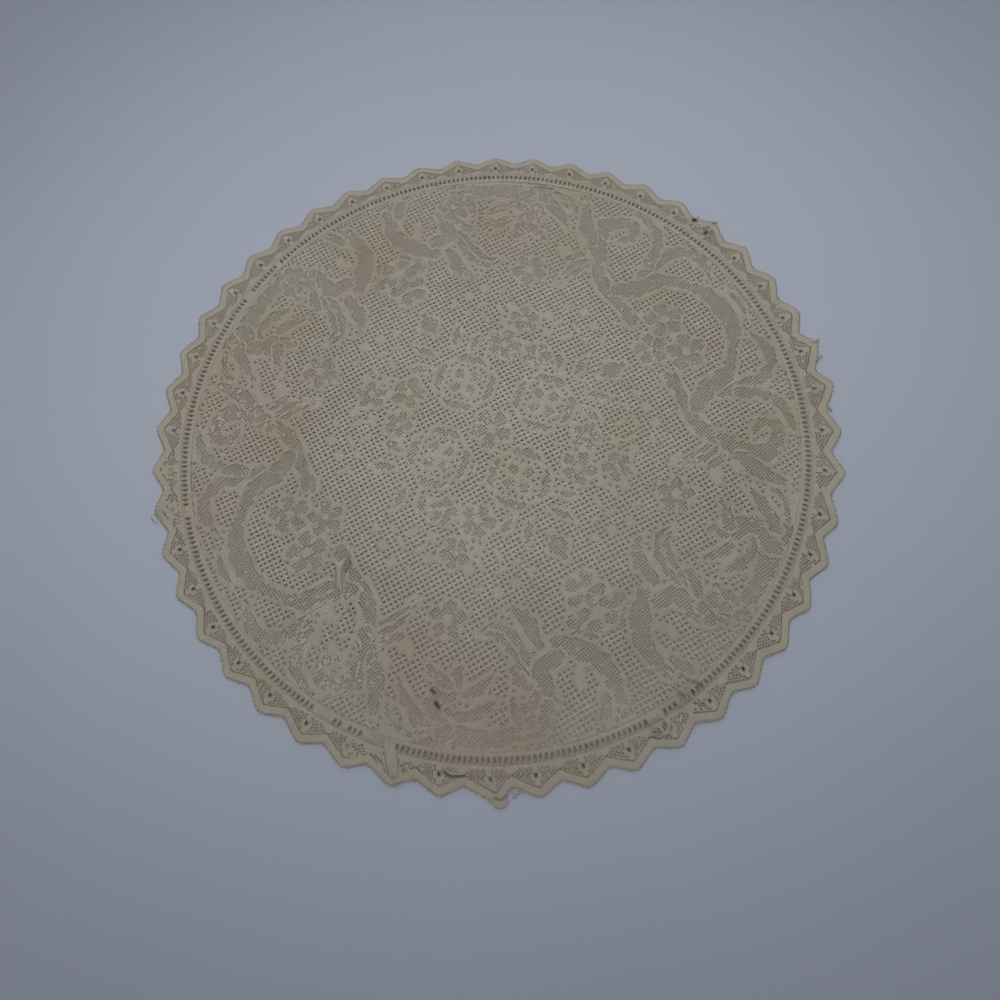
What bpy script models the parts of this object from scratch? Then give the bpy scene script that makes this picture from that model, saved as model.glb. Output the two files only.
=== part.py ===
"""Round lace doily lying flat: a net ground with a pointed lace edging sewn round it.

Lengths are in metres and +Z is up. The doily lies on z = 0 with its middle at the origin.
"""
import math

import bmesh
import bpy

# ---------------------------------------------------------------- driving sizes
TIP_RADIUS = 0.150            # from the middle to the tip of a point
POINT_DEPTH = 0.0056          # from the tip of a point back to the valley beside it
POINT_COUNT = 48
FIRST_TIP_DEG = -0.4          # direction of the first point, from +X towards +Y
PICOT_HEIGHT = 0.0005         # how far the tiny edge loops stand out
PICOTS_PER_SIDE = 3           # on each of a point's two sides, at twice their real pitch

SEAM_RADIUS = 0.1328          # middle of the join between the ground and the edging
SEAM_GAP = 0.0003
LADDER_INNER = 0.1343         # the ladder's holes reach from here
LADDER_OUTER = 0.1369         # to here
LADDER_HOLES_PER_POINT = 4    # at twice the real pitch, so each is twice as wide
LADDER_HOLE_SHARE = 0.60      # of the ladder's pitch that a hole takes up
EYELET_INNER = 0.1398
EYELET_OUTER = 0.1420
EYELET_SHARE = 0.045          # of a point's width

GROUND_THICKNESS = 0.0011
EDGING_THICKNESS = 0.0012
RIM_SEGMENTS = 192
GROUND_RINGS = 13

# ---------------------------------------------------------------- unevenness
# A shape drawn by hand is never quite round: each row is a wave round the circle.
OUT_OF_ROUND = (
    # waves round the circle, height in metres, direction of its crest in degrees
    (1, 0.00054, -66.0),
    (2, 0.00088, -20.0),
    (3, 0.00079, 69.0),
)
POINT_DRIFT = (
    # waves round the circle, drift of the points in degrees, direction of its crest in degrees
    (2, 0.63, 127.0),
    (3, 0.35, 37.0),
)
ODD_POINTS = {
    # number of the point: (longer by, in metres; towards the next point by, in degrees)
    0: (0.0010, 0.9),
    1: (0.0006, 0.8),
    35: (0.0014, 1.5),
    45: (-0.0004, -0.7),
    46: (0.0008, 0.4),
}
# Soft ridges where the cloth is creased or lapped over itself.
RIDGES = (
    # x, y of the middle, heading in degrees, length, width, height (metres)
    (-0.0664, -0.0598, 108.0, 0.022, 0.0055, 0.0013),
    (-0.0700, -0.0790, 120.0, 0.020, 0.0080, 0.0006),
    (-0.0549, -0.1285, 104.0, 0.020, 0.0060, 0.0012),
    (-0.0600, -0.1180, 170.0, 0.016, 0.0060, 0.0007),
    (0.0560, -0.1190, 40.0, 0.018, 0.0080, 0.0008),
    (0.0620, -0.1260, 130.0, 0.012, 0.0060, 0.0007),
    (0.1090, 0.0930, 130.0, 0.012, 0.0050, 0.0005),
    (-0.0150, -0.1200, 80.0, 0.024, 0.0070, 0.0004),
)
COCKLE_HEIGHT = 0.00025       # the slow swell of cloth that has been washed and dried flat
COCKLE_LENGTH = 0.085


def out_of_round(angle):
    """How far the rim stands out of true at an angle in radians."""
    return sum(height * math.cos(waves * angle - math.radians(crest))
               for waves, height, crest in OUT_OF_ROUND)


def point_drift(angle):
    """How far the points have slipped along the rim at an angle in radians."""
    return sum(math.radians(drift) * math.cos(waves * angle - math.radians(crest))
               for waves, drift, crest in POINT_DRIFT)


def odd_point(place):
    """Extra length and slip at a place counted in points, full at an odd point and none beside it."""
    length = 0.0
    slip = 0.0
    for number, (longer, towards) in ODD_POINTS.items():
        apart = (place - number + POINT_COUNT / 2) % POINT_COUNT - POINT_COUNT / 2
        share = max(0.0, 1.0 - abs(apart) * 2.0)
        length += longer * share
        slip += math.radians(towards) * share
    return length, slip


def on_strip(place, radius):
    """A point of the edging: place is counted in points round the rim, radius is its true radius."""
    even_angle = math.radians(FIRST_TIP_DEG) + place * 2.0 * math.pi / POINT_COUNT
    outward = min(1.0, max(0.0, (radius - LADDER_OUTER) / (TIP_RADIUS - LADDER_OUTER)))
    longer, slip = odd_point(place)
    angle = even_angle + outward * (point_drift(even_angle) + slip)
    reach = radius + outward * (out_of_round(even_angle) + longer)
    return (reach * math.cos(angle), reach * math.sin(angle))


def edge_radius(place):
    """Radius of the zigzag edge at a place counted in points, with a tip at each whole number."""
    from_tip = abs(place - round(place)) * 2.0
    rounded = 0.5 - 0.5 * math.cos(math.pi * from_tip)
    zigzag = 0.65 * from_tip + 0.35 * rounded
    return TIP_RADIUS - POINT_DEPTH * zigzag


def relief(x, y):
    """Height of the cloth's upper side above its usual level."""
    swell = 0.5 + 0.25 * (math.sin(2.0 * math.pi * x / COCKLE_LENGTH + 0.7)
                          + math.sin(2.0 * math.pi * (0.4 * x + y) / COCKLE_LENGTH + 2.1))
    height = COCKLE_HEIGHT * swell
    for middle_x, middle_y, heading, length, width, ridge_height in RIDGES:
        turn = math.radians(heading)
        along = (x - middle_x) * math.cos(turn) + (y - middle_y) * math.sin(turn)
        across = (y - middle_y) * math.cos(turn) - (x - middle_x) * math.sin(turn)
        height += ridge_height * math.exp(-(2.0 * along / length) ** 2 - (2.0 * across / width) ** 2)
    return height


def thread_material(name, colour, roughness):
    """Matt cotton thread."""
    material = bpy.data.materials.new(name)
    material.use_nodes = True
    shader = material.node_tree.nodes["Principled BSDF"]
    shader.inputs["Base Color"].default_value = (*colour, 1.0)
    shader.inputs["Roughness"].default_value = roughness
    shader.inputs["Metallic"].default_value = 0.0
    return material


def cloth_solid(name, sheet, thickness, material):
    """Turn a flat sheet of faces on z = 0 into one closed piece with its relief on the upper side."""
    bmesh.ops.remove_doubles(sheet, verts=sheet.verts, dist=0.000001)
    bmesh.ops.recalc_face_normals(sheet, faces=sheet.faces)
    grown = bmesh.ops.extrude_face_region(sheet, geom=list(sheet.faces), use_keep_orig=True)
    for item in grown["geom"]:
        if isinstance(item, bmesh.types.BMVert):
            item.co.z = thickness + relief(item.co.x, item.co.y)
    bmesh.ops.recalc_face_normals(sheet, faces=sheet.faces)
    mesh = bpy.data.meshes.new(name)
    sheet.to_mesh(mesh)
    sheet.free()
    mesh.materials.append(material)
    piece = bpy.data.objects.new(name, mesh)
    bpy.context.collection.objects.link(piece)
    return piece


def add_face(sheet, corners):
    """Add one flat face through the given corners, each an (x, y) pair."""
    return sheet.faces.new([sheet.verts.new((x, y, 0.0)) for x, y in corners])


def build_ground(material):
    """The round net panel: rings of faces about a middle, halved in number towards the middle."""
    sheet = bmesh.new()
    rim = SEAM_RADIUS - SEAM_GAP / 2.0

    def ring_point(ring, step, steps):
        angle = 2.0 * math.pi * step / steps
        radius = rim * ring / GROUND_RINGS
        return (radius * math.cos(angle), radius * math.sin(angle))

    def steps_of(ring):
        share = ring / GROUND_RINGS
        if share > 0.95:
            return RIM_SEGMENTS
        if share > 0.45:
            return RIM_SEGMENTS // 2
        if share > 0.20:
            return RIM_SEGMENTS // 4
        return RIM_SEGMENTS // 8

    for ring in range(1, GROUND_RINGS + 1):
        outer_steps = steps_of(ring)
        inner_steps = steps_of(ring - 1)
        if ring == 1:
            for step in range(outer_steps):
                add_face(sheet, [(0.0, 0.0), ring_point(1, step, outer_steps),
                                 ring_point(1, step + 1, outer_steps)])
            continue
        outer_per_face = outer_steps // inner_steps
        for step in range(inner_steps):
            corners = [ring_point(ring - 1, step + 1, inner_steps), ring_point(ring - 1, step, inner_steps)]
            corners += [ring_point(ring, step * outer_per_face + part, outer_steps)
                        for part in range(outer_per_face + 1)]
            add_face(sheet, corners)
    return cloth_solid("lace_ground", sheet, GROUND_THICKNESS, material)


def ladder_edges():
    """Places of the ladder holes' two sides within one point, counted from the valley before it."""
    pitch = 1.0 / LADDER_HOLES_PER_POINT
    half_hole = pitch * LADDER_HOLE_SHARE / 2.0
    return [(pitch * (hole + 0.5) - half_hole, pitch * (hole + 0.5) + half_hole)
            for hole in range(LADDER_HOLES_PER_POINT)]


def picot_edge(first, last):
    """The outer edge from one place to another: each picot stands out between two notches."""
    steps = PICOTS_PER_SIDE * 2
    edge = []
    for step in range(steps + 1):
        place = first + (last - first) * step / steps
        stands_out = PICOT_HEIGHT if step % 2 else 0.0
        edge.append(on_strip(place, edge_radius(place) + stands_out))
    return edge


def build_edging(material):
    """The pointed strip: a ladder of holes, then points with an eyelet, then the picot edge."""
    sheet = bmesh.new()
    inner = SEAM_RADIUS + SEAM_GAP / 2.0
    holes = ladder_edges()
    half_slit = EYELET_SHARE / 2.0
    for point in range(POINT_COUNT):
        start = point - 0.5

        def at(place, radius):
            return on_strip(start + place, radius)

        stops = [place for hole in holes for place in hole]
        stops.append(holes[0][0] + 1.0)
        for first, last in zip(stops, stops[1:]):
            add_face(sheet, [at(first, inner), at(last, inner),
                             at(last, LADDER_INNER), at(first, LADDER_INNER)])
            is_hole = (first, last) in holes
            if not is_hole:
                add_face(sheet, [at(first, LADDER_INNER), at(last, LADDER_INNER),
                                 at(last, LADDER_OUTER), at(first, LADDER_OUTER)])

        slit = (0.5 - half_slit, 0.5 + half_slit)
        before = [place for place in stops if place < 0.5]
        after = [place for place in stops if 0.5 < place < 1.0]
        last_of_neighbour = holes[-1][1] - 1.0
        before = [last_of_neighbour] + before
        left = [at(place, LADDER_OUTER) for place in before]
        add_face(sheet, left + [at(slit[0], EYELET_INNER), at(0.0, EYELET_INNER)])
        add_face(sheet, [at(before[-1], LADDER_OUTER), at(after[0], LADDER_OUTER),
                         at(slit[1], EYELET_INNER), at(slit[0], EYELET_INNER)])
        right = [at(place, LADDER_OUTER) for place in after]
        add_face(sheet, right + [at(1.0, EYELET_INNER), at(slit[1], EYELET_INNER)])

        add_face(sheet, [at(0.0, EYELET_INNER), at(slit[0], EYELET_INNER),
                         at(slit[0], EYELET_OUTER), at(0.0, EYELET_OUTER)])
        add_face(sheet, [at(slit[1], EYELET_INNER), at(1.0, EYELET_INNER),
                         at(1.0, EYELET_OUTER), at(slit[1], EYELET_OUTER)])

        rising = picot_edge(point - 0.5, point)
        falling = picot_edge(point, point + 0.5)
        add_face(sheet, [at(0.0, EYELET_OUTER), at(slit[0], EYELET_OUTER)] + rising[::-1])
        add_face(sheet, [at(slit[0], EYELET_OUTER), at(slit[1], EYELET_OUTER), rising[-1]])
        add_face(sheet, [at(slit[1], EYELET_OUTER), at(1.0, EYELET_OUTER)] + falling[::-1])
    return cloth_solid("lace_edging", sheet, EDGING_THICKNESS, material)


def main():
    for thing in list(bpy.data.objects):
        bpy.data.objects.remove(thing, do_unlink=True)
    build_ground(thread_material("ground_cotton", (0.240, 0.226, 0.196), 0.92))
    build_edging(thread_material("edging_cotton", (0.252, 0.238, 0.206), 0.90))


main()
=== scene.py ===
"""Round lace doily: a square net worked with flowers and scrolls, and a pointed edging sewn round it.

The doily lies on z = 0 in the frame of its solids. Lengths are in metres, and in millimetres where the name
of a class or function says so.
"""
from __future__ import annotations

import logging
import math
from dataclasses import dataclass
from enum import Enum
from typing import Callable, Hashable, Iterable

import bpy
import numpy as np
from mathutils import Matrix, Vector


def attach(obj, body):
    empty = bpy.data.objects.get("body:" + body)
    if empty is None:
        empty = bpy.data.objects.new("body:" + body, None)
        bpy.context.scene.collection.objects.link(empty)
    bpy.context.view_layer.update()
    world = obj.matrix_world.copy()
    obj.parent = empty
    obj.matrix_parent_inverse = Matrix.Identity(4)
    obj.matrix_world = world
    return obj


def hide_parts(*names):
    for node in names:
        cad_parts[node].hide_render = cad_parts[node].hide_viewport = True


MM = 0.001
BODY = "root"
SEED = 48
log = logging.getLogger("doily")

Pair = tuple[float, float]
Line = tuple[Pair, ...]
Colour = tuple[float, float, float]
Piece = bpy.types.Object
Socket = bpy.types.NodeSocket

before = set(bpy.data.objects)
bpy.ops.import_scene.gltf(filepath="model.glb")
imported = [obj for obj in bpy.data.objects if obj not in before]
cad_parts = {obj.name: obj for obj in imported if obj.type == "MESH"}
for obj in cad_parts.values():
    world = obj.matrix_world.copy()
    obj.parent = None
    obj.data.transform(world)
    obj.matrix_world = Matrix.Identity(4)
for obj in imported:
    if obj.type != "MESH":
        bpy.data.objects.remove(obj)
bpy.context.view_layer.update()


class Work(Enum):
    """How one small mesh of the net is worked."""

    OPEN = "open net"
    CLOTH = "filled with thread"
    FINE = "fine net"


# ------------------------------------------------------------------ how the cloth lies


@dataclass(frozen=True)
class Wave:
    """A slow wave round the circle: how many turns, how large, and where its crest is."""

    turns: int
    size: float
    crest_deg: float

    def at(self, angle: np.ndarray) -> np.ndarray:
        """Size of the wave at an angle in radians."""
        return self.size * np.cos(self.turns * angle - math.radians(self.crest_deg))


@dataclass(frozen=True)
class Ridge:
    """A soft crease, in metres: its middle, heading, length, width and height."""

    x: float
    y: float
    heading_deg: float
    length: float
    width: float
    height: float

    def at(self, x: np.ndarray, y: np.ndarray) -> np.ndarray:
        """Height of the crease over the points x, y.

        Args:
            x: x of each point.
            y: y of each point.

        Returns:
            A height for each point.
        """
        turn = math.radians(self.heading_deg)
        along = (x - self.x) * math.cos(turn) + (y - self.y) * math.sin(turn)
        across = (y - self.y) * math.cos(turn) - (x - self.x) * math.sin(turn)
        return self.height * np.exp(-((2.0 * along / self.length) ** 2) - (2.0 * across / self.width) ** 2)


@dataclass(frozen=True)
class Trace:
    """A narrow fold or streak in metres: its bent line, half-width and how much it amounts to."""

    line: Line
    half_width: float
    amount: float

    def at(self, x: np.ndarray, y: np.ndarray) -> np.ndarray:
        """Amount of the fold or streak over the points x, y.

        Args:
            x: x of each point.
            y: y of each point.

        Returns:
            An amount for each point.
        """
        nearest = np.full(np.shape(x), np.inf)
        for (start_x, start_y), (end_x, end_y) in zip(self.line, self.line[1:]):
            along_x, along_y = end_x - start_x, end_y - start_y
            share = ((x - start_x) * along_x + (y - start_y) * along_y) / (along_x**2 + along_y**2)
            share = np.clip(share, 0.0, 1.0)
            off_x, off_y = x - start_x - share * along_x, y - start_y - share * along_y
            nearest = np.minimum(nearest, np.hypot(off_x, off_y))
        return self.amount * np.exp(-((nearest / self.half_width) ** 2))


@dataclass(frozen=True)
class Ring:
    """A round pucker, in metres: its middle, radius, half-width and height."""

    x: float
    y: float
    radius: float
    half_width: float
    height: float

    def at(self, x: np.ndarray, y: np.ndarray) -> np.ndarray:
        """Height of the pucker over the points x, y."""
        from_ring = np.hypot(x - self.x, y - self.y) - self.radius
        return self.height * np.exp(-((from_ring / self.half_width) ** 2))


@dataclass(frozen=True)
class OddPoint:
    """A point of the edging that is longer than the rest, or has slipped along the rim."""

    number: int
    longer: float
    towards_deg: float


@dataclass(frozen=True)
class ClothLay:
    """The doily's outline, unevenness and creases in metres, as in its solids."""

    tip_radius: float = 0.150
    lace_tip: float = 0.1489
    lace_depth: float = 0.0045
    point_count: int = 48
    first_tip_deg: float = -0.4
    ladder_outer: float = 0.1369
    seam_radius: float = 0.1328
    zigzag_mix: Pair = (0.65, 0.35)
    out_of_round: tuple[Wave, ...] = (
        Wave(1, 0.00054, -66.0),
        Wave(2, 0.00088, -20.0),
        Wave(3, 0.00079, 69.0),
    )
    point_drift: tuple[Wave, ...] = (Wave(2, math.radians(0.63), 127.0), Wave(3, math.radians(0.35), 37.0))
    odd_points: tuple[OddPoint, ...] = (
        OddPoint(0, 0.0010, 0.9),
        OddPoint(1, 0.0006, 0.8),
        OddPoint(35, 0.0014, 1.5),
        OddPoint(45, -0.0004, -0.7),
        OddPoint(46, 0.0008, 0.4),
    )
    ridges: tuple[Ridge, ...] = (
        Ridge(-0.0664, -0.0598, 108.0, 0.022, 0.0055, 0.0013),
        Ridge(-0.0700, -0.0790, 120.0, 0.020, 0.0080, 0.0006),
        Ridge(-0.0549, -0.1285, 104.0, 0.020, 0.0060, 0.0012),
        Ridge(-0.0600, -0.1180, 170.0, 0.016, 0.0060, 0.0007),
        Ridge(0.0560, -0.1190, 40.0, 0.018, 0.0080, 0.0008),
        Ridge(0.0620, -0.1260, 130.0, 0.012, 0.0060, 0.0007),
        Ridge(0.1090, 0.0930, 130.0, 0.012, 0.0050, 0.0005),
        Ridge(-0.0150, -0.1200, 80.0, 0.024, 0.0070, 0.0004),
    )
    pinches: tuple[Trace | Ring, ...] = (
        Trace(((-0.0694, -0.0510), (-0.0699, -0.0570), (-0.0693, -0.0615)), 0.0013, 0.0010),
        Trace(((-0.0689, -0.0642), (-0.0672, -0.0682), (-0.0655, -0.0713)), 0.0007, 0.0006),
        Trace(((-0.0348, -0.1352), (-0.0321, -0.1372), (-0.0275, -0.1378)), 0.0007, 0.0006),
        Ring(0.0486, -0.1301, 0.0034, 0.0010, 0.0008),
        Trace(((0.0601, -0.1196), (0.0568, -0.1166)), 0.0007, 0.0006),
        Trace(((0.0601, -0.1196), (0.0641, -0.1178)), 0.0007, 0.0007),
        Trace(((0.0601, -0.1196), (0.0588, -0.1240)), 0.0007, 0.0006),
        Trace(((0.0601, -0.1196), (0.0638, -0.1226)), 0.0007, 0.0006),
        Trace(((-0.0600, -0.1200), (-0.0560, -0.1228), (-0.0555, -0.1270)), 0.0008, 0.0007),
    )
    pulled_open: float = 0.17
    pulled_fully_from: float = 0.105
    cockle_height: float = 0.00025
    cockle_length: float = 0.085
    cockle_slant: float = 0.4
    cockle_starts: Pair = (0.7, 2.1)

    def lift(self, x: np.ndarray, y: np.ndarray) -> np.ndarray:
        """Height of the cloth above the table from its creases and its slow swell.

        Args:
            x: x of each point.
            y: y of each point.

        Returns:
            A height for each point.
        """
        step = 2.0 * math.pi / self.cockle_length
        first, second = self.cockle_starts
        aslant = self.cockle_slant * x + y
        swell = 0.5 + 0.25 * (np.sin(step * x + first) + np.sin(step * aslant + second))
        return self.cockle_height * swell + sum(fold.at(x, y) for fold in (*self.ridges, *self.pinches))

    def stretch(self, heading_deg: float | np.ndarray,
                share: float | np.ndarray = 1.0) -> float | np.ndarray:
        """How far the holes are pulled open at a heading: a share of 1 is the rim and 0 the middle."""
        return 1.0 - self.pulled_open * share * np.sin(np.radians(heading_deg))

    def edge_radius(self, place: np.ndarray) -> np.ndarray:
        """Radius of the lace's zigzag edge, inside its cord and picots, with a tip at each whole place.

        Args:
            place: distance along the strip, counted in points from the first tip.

        Returns:
            The radius in metres.
        """
        from_tip = np.abs(place - np.round(place)) * 2.0
        rounded = 0.5 - 0.5 * np.cos(math.pi * from_tip)
        straight_share, round_share = self.zigzag_mix
        return self.lace_tip - self.lace_depth * (straight_share * from_tip + round_share * rounded)

    def on_strip(self, place: np.ndarray, radius: np.ndarray) -> np.ndarray:
        """Where a point of the edging lies.

        Args:
            place: distance along the strip, counted in points from the first tip.
            radius: radius of the point before any unevenness.

        Returns:
            One row of x and y for each point.
        """
        even = math.radians(self.first_tip_deg) + place * 2.0 * math.pi / self.point_count
        outward = np.clip((radius - self.ladder_outer) / (self.tip_radius - self.ladder_outer), 0.0, 1.0)
        longer = sum(wave.at(even) for wave in self.out_of_round)
        slip = sum(wave.at(even) for wave in self.point_drift)
        half = self.point_count / 2
        for odd in self.odd_points:
            apart = (place - odd.number + half) % self.point_count - half
            share = np.maximum(0.0, 1.0 - np.abs(apart) * 2.0)
            longer = longer + odd.longer * share
            slip = slip + math.radians(odd.towards_deg) * share
        angle = even + outward * slip
        reach = radius + outward * longer
        return np.stack([reach * np.cos(angle), reach * np.sin(angle)], -1)


# ------------------------------------------------------------------ wear, stains and painted shade


@dataclass(frozen=True)
class Patch:
    """A soft round patch on the cloth in metres, with its strength at the middle."""

    x: float
    y: float
    radius: float
    strength: float

    def at(self, x: np.ndarray, y: np.ndarray) -> np.ndarray:
        """Strength of the patch over the points x, y."""
        return self.strength * np.exp(-((x - self.x) ** 2 + (y - self.y) ** 2) / self.radius**2)


@dataclass(frozen=True)
class AgeingAndShade:
    """Where the cotton is stained, greyed, soiled or matted, and where shade is painted beside its folds
    and its pucker.
    """

    pink: tuple[Patch, ...] = (
        Patch(-0.106, 0.031, 0.030, 1.0),
        Patch(0.020, 0.104, 0.022, 0.8),
        Patch(-0.016, -0.118, 0.030, 0.9),
        Patch(-0.045, -0.095, 0.022, 0.6),
        Patch(-0.058, 0.084, 0.022, 0.5),
        Patch(0.104, 0.028, 0.020, 0.5),
        Patch(-0.030, 0.108, 0.018, 0.6),
        Patch(-0.125, -0.020, 0.018, 0.6),
    )
    green: tuple[Patch, ...] = (
        Patch(-0.078, -0.086, 0.020, 1.0),
        Patch(0.060, -0.120, 0.010, 1.0),
        Patch(0.049, -0.130, 0.006, 0.9),
        Patch(-0.055, -0.128, 0.010, 0.7),
        Patch(0.006, 0.012, 0.050, 0.35),
        Patch(0.052, -0.070, 0.030, 0.4),
        Patch(0.075, 0.085, 0.025, 0.4),
    )
    # Soil, and painted shade: the streaks beside the pinched folds and the pucker darken the cloth where
    # the folds would shade it.
    soil_and_painted_shade: tuple[Patch | Trace, ...] = (
        Trace(((-0.0366, -0.1058), (-0.0356, -0.1070)), 0.0008, 0.9),
        Trace(((-0.0355, -0.1109), (-0.0346, -0.1127)), 0.0008, 1.3),
        Patch(0.1092, 0.0938, 0.0012, 1.6),
        Patch(0.1183, 0.0912, 0.0008, 0.9),
        Patch(0.1137, 0.0869, 0.0024, 0.5),
        Patch(0.0602, -0.1200, 0.0040, 0.10),
        Patch(0.0611, -0.1125, 0.0008, 0.6),
        Trace(((0.0644, -0.1155), (0.0658, -0.1160), (0.0674, -0.1173)), 0.0006, 0.7),
        Patch(-0.1480, -0.0180, 0.0040, 0.25),
        # Painted shade: dark streaks along both sides of the pinched fold.
        Trace(((-0.0654, -0.0485), (-0.0652, -0.0510), (-0.0672, -0.0540), (-0.0683, -0.0565),
               (-0.0682, -0.0610)), 0.0006, 0.45),
        Trace(((-0.0716, -0.0540), (-0.0718, -0.0600)), 0.0005, 0.30),
        Trace(((-0.0172, -0.1479), (-0.0146, -0.1486), (-0.0122, -0.1476)), 0.0005, 0.6),
        # Painted shade: streaks along the near side of a pinched fold, of the pucker and of the folds that
        # meet beside it.
        Trace(((-0.0348, -0.1362), (-0.0321, -0.1382), (-0.0275, -0.1388)), 0.0005, 0.75),
        Trace(((0.0453, -0.1297), (0.0466, -0.1330), (0.0494, -0.1336)), 0.0005, 0.45),
        Trace(((0.0580, -0.1196), (0.0602, -0.1212), (0.0622, -0.1204)), 0.0005, 0.30),
    )
    matted: tuple[Patch | Trace | Ring, ...] = (
        Trace(((-0.0690, -0.0500), (-0.0700, -0.0570), (-0.0690, -0.0630)), 0.0016, 1.3),
        Patch(-0.0760, -0.0860, 0.016, 0.75),
        Patch(-0.0770, -0.0695, 0.005, 1.0),
        Patch(0.0602, -0.1200, 0.008, 0.9),
        Ring(0.0486, -0.1301, 0.0038, 0.0012, 0.8),
        Patch(-0.0560, -0.1250, 0.010, 0.9),
        Patch(-0.1060, 0.0310, 0.022, 0.25),
        Patch(-0.1440, -0.0180, 0.007, 0.9),
        Patch(-0.1440, 0.0010, 0.006, 0.6),
        Patch(0.1120, 0.0910, 0.005, 0.7),
        Patch(0.0300, 0.1100, 0.020, 0.25),
        Patch(0.0000, 0.0000, 0.040, 0.05),
    )
    handled_from: float = 0.042
    handled_full: float = 0.088

    def handling(self, x: np.ndarray, y: np.ndarray) -> np.ndarray:
        """How much the cotton has been dulled by hands, from 0 in the middle to 1 towards the edge."""
        share = (np.hypot(x, y) - self.handled_from) / (self.handled_full - self.handled_from)
        return np.clip(share, 0.0, 1.0)

    def matting(self, x: np.ndarray, y: np.ndarray) -> np.ndarray:
        """How far the thread has closed up over its holes, from 0 to 1."""
        return np.clip(sum(patch.at(x, y) for patch in self.matted), 0.0, 1.0)

    def mark(self, piece: Piece, own_painted_shade: tuple[Patch, ...] = ()) -> None:
        """Store the stains and the painted shade on a piece as its point attribute 'ageing_and_shade'.

        Red holds the pink stains, green the greenish ones, blue the soil together with the painted shade
        beside folds and in eyelets, and alpha the handling.

        Args:
            piece: the piece to mark.
            own_painted_shade: painted shade that only this piece has, added to its soil.
        """
        count = len(piece.data.vertices)
        places = np.empty(count * 3)
        piece.data.vertices.foreach_get("co", places)
        x, y, _ = places.reshape(-1, 3).T
        kinds = (self.pink, self.green, (*self.soil_and_painted_shade, *own_painted_shade))
        channels = [sum(patch.at(x, y) for patch in kind) for kind in kinds]
        colour = np.stack([*channels, self.handling(x, y)], 1).clip(0.0, 1.0)
        layer = piece.data.attributes.new("ageing_and_shade", "FLOAT_COLOR", "POINT")
        layer.data.foreach_set("color", colour.ravel())


# ------------------------------------------------------------------ motifs of the ground


def smooth_path(points: list[Pair], steps: int = 9) -> np.ndarray:
    """A smooth curve through a few points, as short straight steps.

    Args:
        points: places that the curve goes through.
        steps: steps from one place to the next.

    Returns:
        One row of x and y for each step.
    """
    given = np.asarray(points, float)
    if len(given) == 2:
        share = np.linspace(0.0, 1.0, steps + 1)[:, None]
        return given[0] * (1.0 - share) + given[1] * share
    padded = np.vstack([2 * given[0] - given[1], given, 2 * given[-1] - given[-2]])
    curve = []
    for a, b, c, d in zip(padded, padded[1:], padded[2:], padded[3:]):
        for t in np.linspace(0.0, 1.0, steps, endpoint=False):
            straight = 2 * b + (c - a) * t
            bend = (2 * a - 5 * b + 4 * c - d) * t**2 + (3 * b - a - 3 * c + d) * t**3
            curve.append(0.5 * (straight + bend))
    curve.append(given[-1])
    return np.array(curve)


@dataclass
class Leaf:
    """A leaf, bud, stem or scroll in millimetres: a path with a half-width that changes along it."""

    path: list[Pair]
    half_widths: list[float]
    line: float = 1.2
    fill: Work = Work.FINE
    vein: float = 0.0
    vein_share: float = 0.6

    def __post_init__(self) -> None:
        """Smooth the path and spread the half-widths along it."""
        self.curve = smooth_path(self.path)
        spread = np.linspace(0.0, 1.0, len(self.half_widths))
        self.radii = np.interp(np.linspace(0.0, 1.0, len(self.curve)), spread, self.half_widths)

    def near(self, points: np.ndarray) -> np.ndarray:
        """Mask of the points that the leaf may reach."""
        reach = self.radii.max() + self.line
        return ((points > self.curve.min(0) - reach) & (points < self.curve.max(0) + reach)).all(1)

    def gap(self, points: np.ndarray, radii: np.ndarray | None = None) -> np.ndarray:
        """Distance from each point to the leaf's edge, negative inside.

        Args:
            points: one row of x and y for each point.
            radii: half-widths in place of the leaf's own.

        Returns:
            A distance for each point.
        """
        radii = self.radii if radii is None else radii
        least = np.full(len(points), np.inf)
        for a, b, radius_a, radius_b in zip(self.curve, self.curve[1:], radii, radii[1:]):
            along = b - a
            share = np.clip(((points - a) @ along) / (along @ along + 1e-9), 0.0, 1.0)
            apart = points - a - share[:, None] * along
            radius = radius_a + (radius_b - radius_a) * share
            least = np.minimum(least, np.hypot(apart[:, 0], apart[:, 1]) - radius)
        return least

    def worked_solid(self, points: np.ndarray) -> np.ndarray:
        """Mask of the points on the leaf's vein."""
        if self.vein <= 0.0:
            return np.zeros(len(points), bool)
        return self.gap(points, np.minimum(self.vein / 2, self.radii * self.vein_share)) < 0.0


@dataclass
class Flower:
    """A flower in millimetres: round petals about a worked eye."""

    x: float
    y: float
    radius: float
    turn_deg: float = 90.0
    petals: int = 5
    line: float = 1.15
    fill: Work = Work.FINE
    eye_share: float = 0.20
    petal_root_share: float = 0.26
    petal_tip_share: float = 0.60
    root_width_share: float = 0.16
    tip_width_share: float = 0.30

    def near(self, points: np.ndarray) -> np.ndarray:
        """Mask of the points that the flower may reach."""
        return (np.abs(points - (self.x, self.y)) < self.radius + self.line).all(1)

    def gap(self, points: np.ndarray) -> np.ndarray:
        """Distance from each point to the nearest petal's edge, negative inside.

        Args:
            points: one row of x and y for each point.

        Returns:
            A distance for each point.
        """
        least = np.full(len(points), np.inf)
        length = (self.petal_tip_share - self.petal_root_share) * self.radius
        for petal in range(self.petals):
            angle = math.radians(self.turn_deg + 360.0 * petal / self.petals)
            heading = np.array([math.cos(angle), math.sin(angle)])
            from_root = points - (self.x, self.y) - heading * self.petal_root_share * self.radius
            share = np.clip(from_root @ heading / length, 0.0, 1.0)
            apart = from_root - share[:, None] * heading * length
            width = self.root_width_share + (self.tip_width_share - self.root_width_share) * share
            least = np.minimum(least, np.hypot(apart[:, 0], apart[:, 1]) - width * self.radius)
        return least

    def worked_solid(self, points: np.ndarray) -> np.ndarray:
        """Mask of the points in the flower's eye."""
        return np.hypot(points[:, 0] - self.x, points[:, 1] - self.y) < self.radius * self.eye_share


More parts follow.
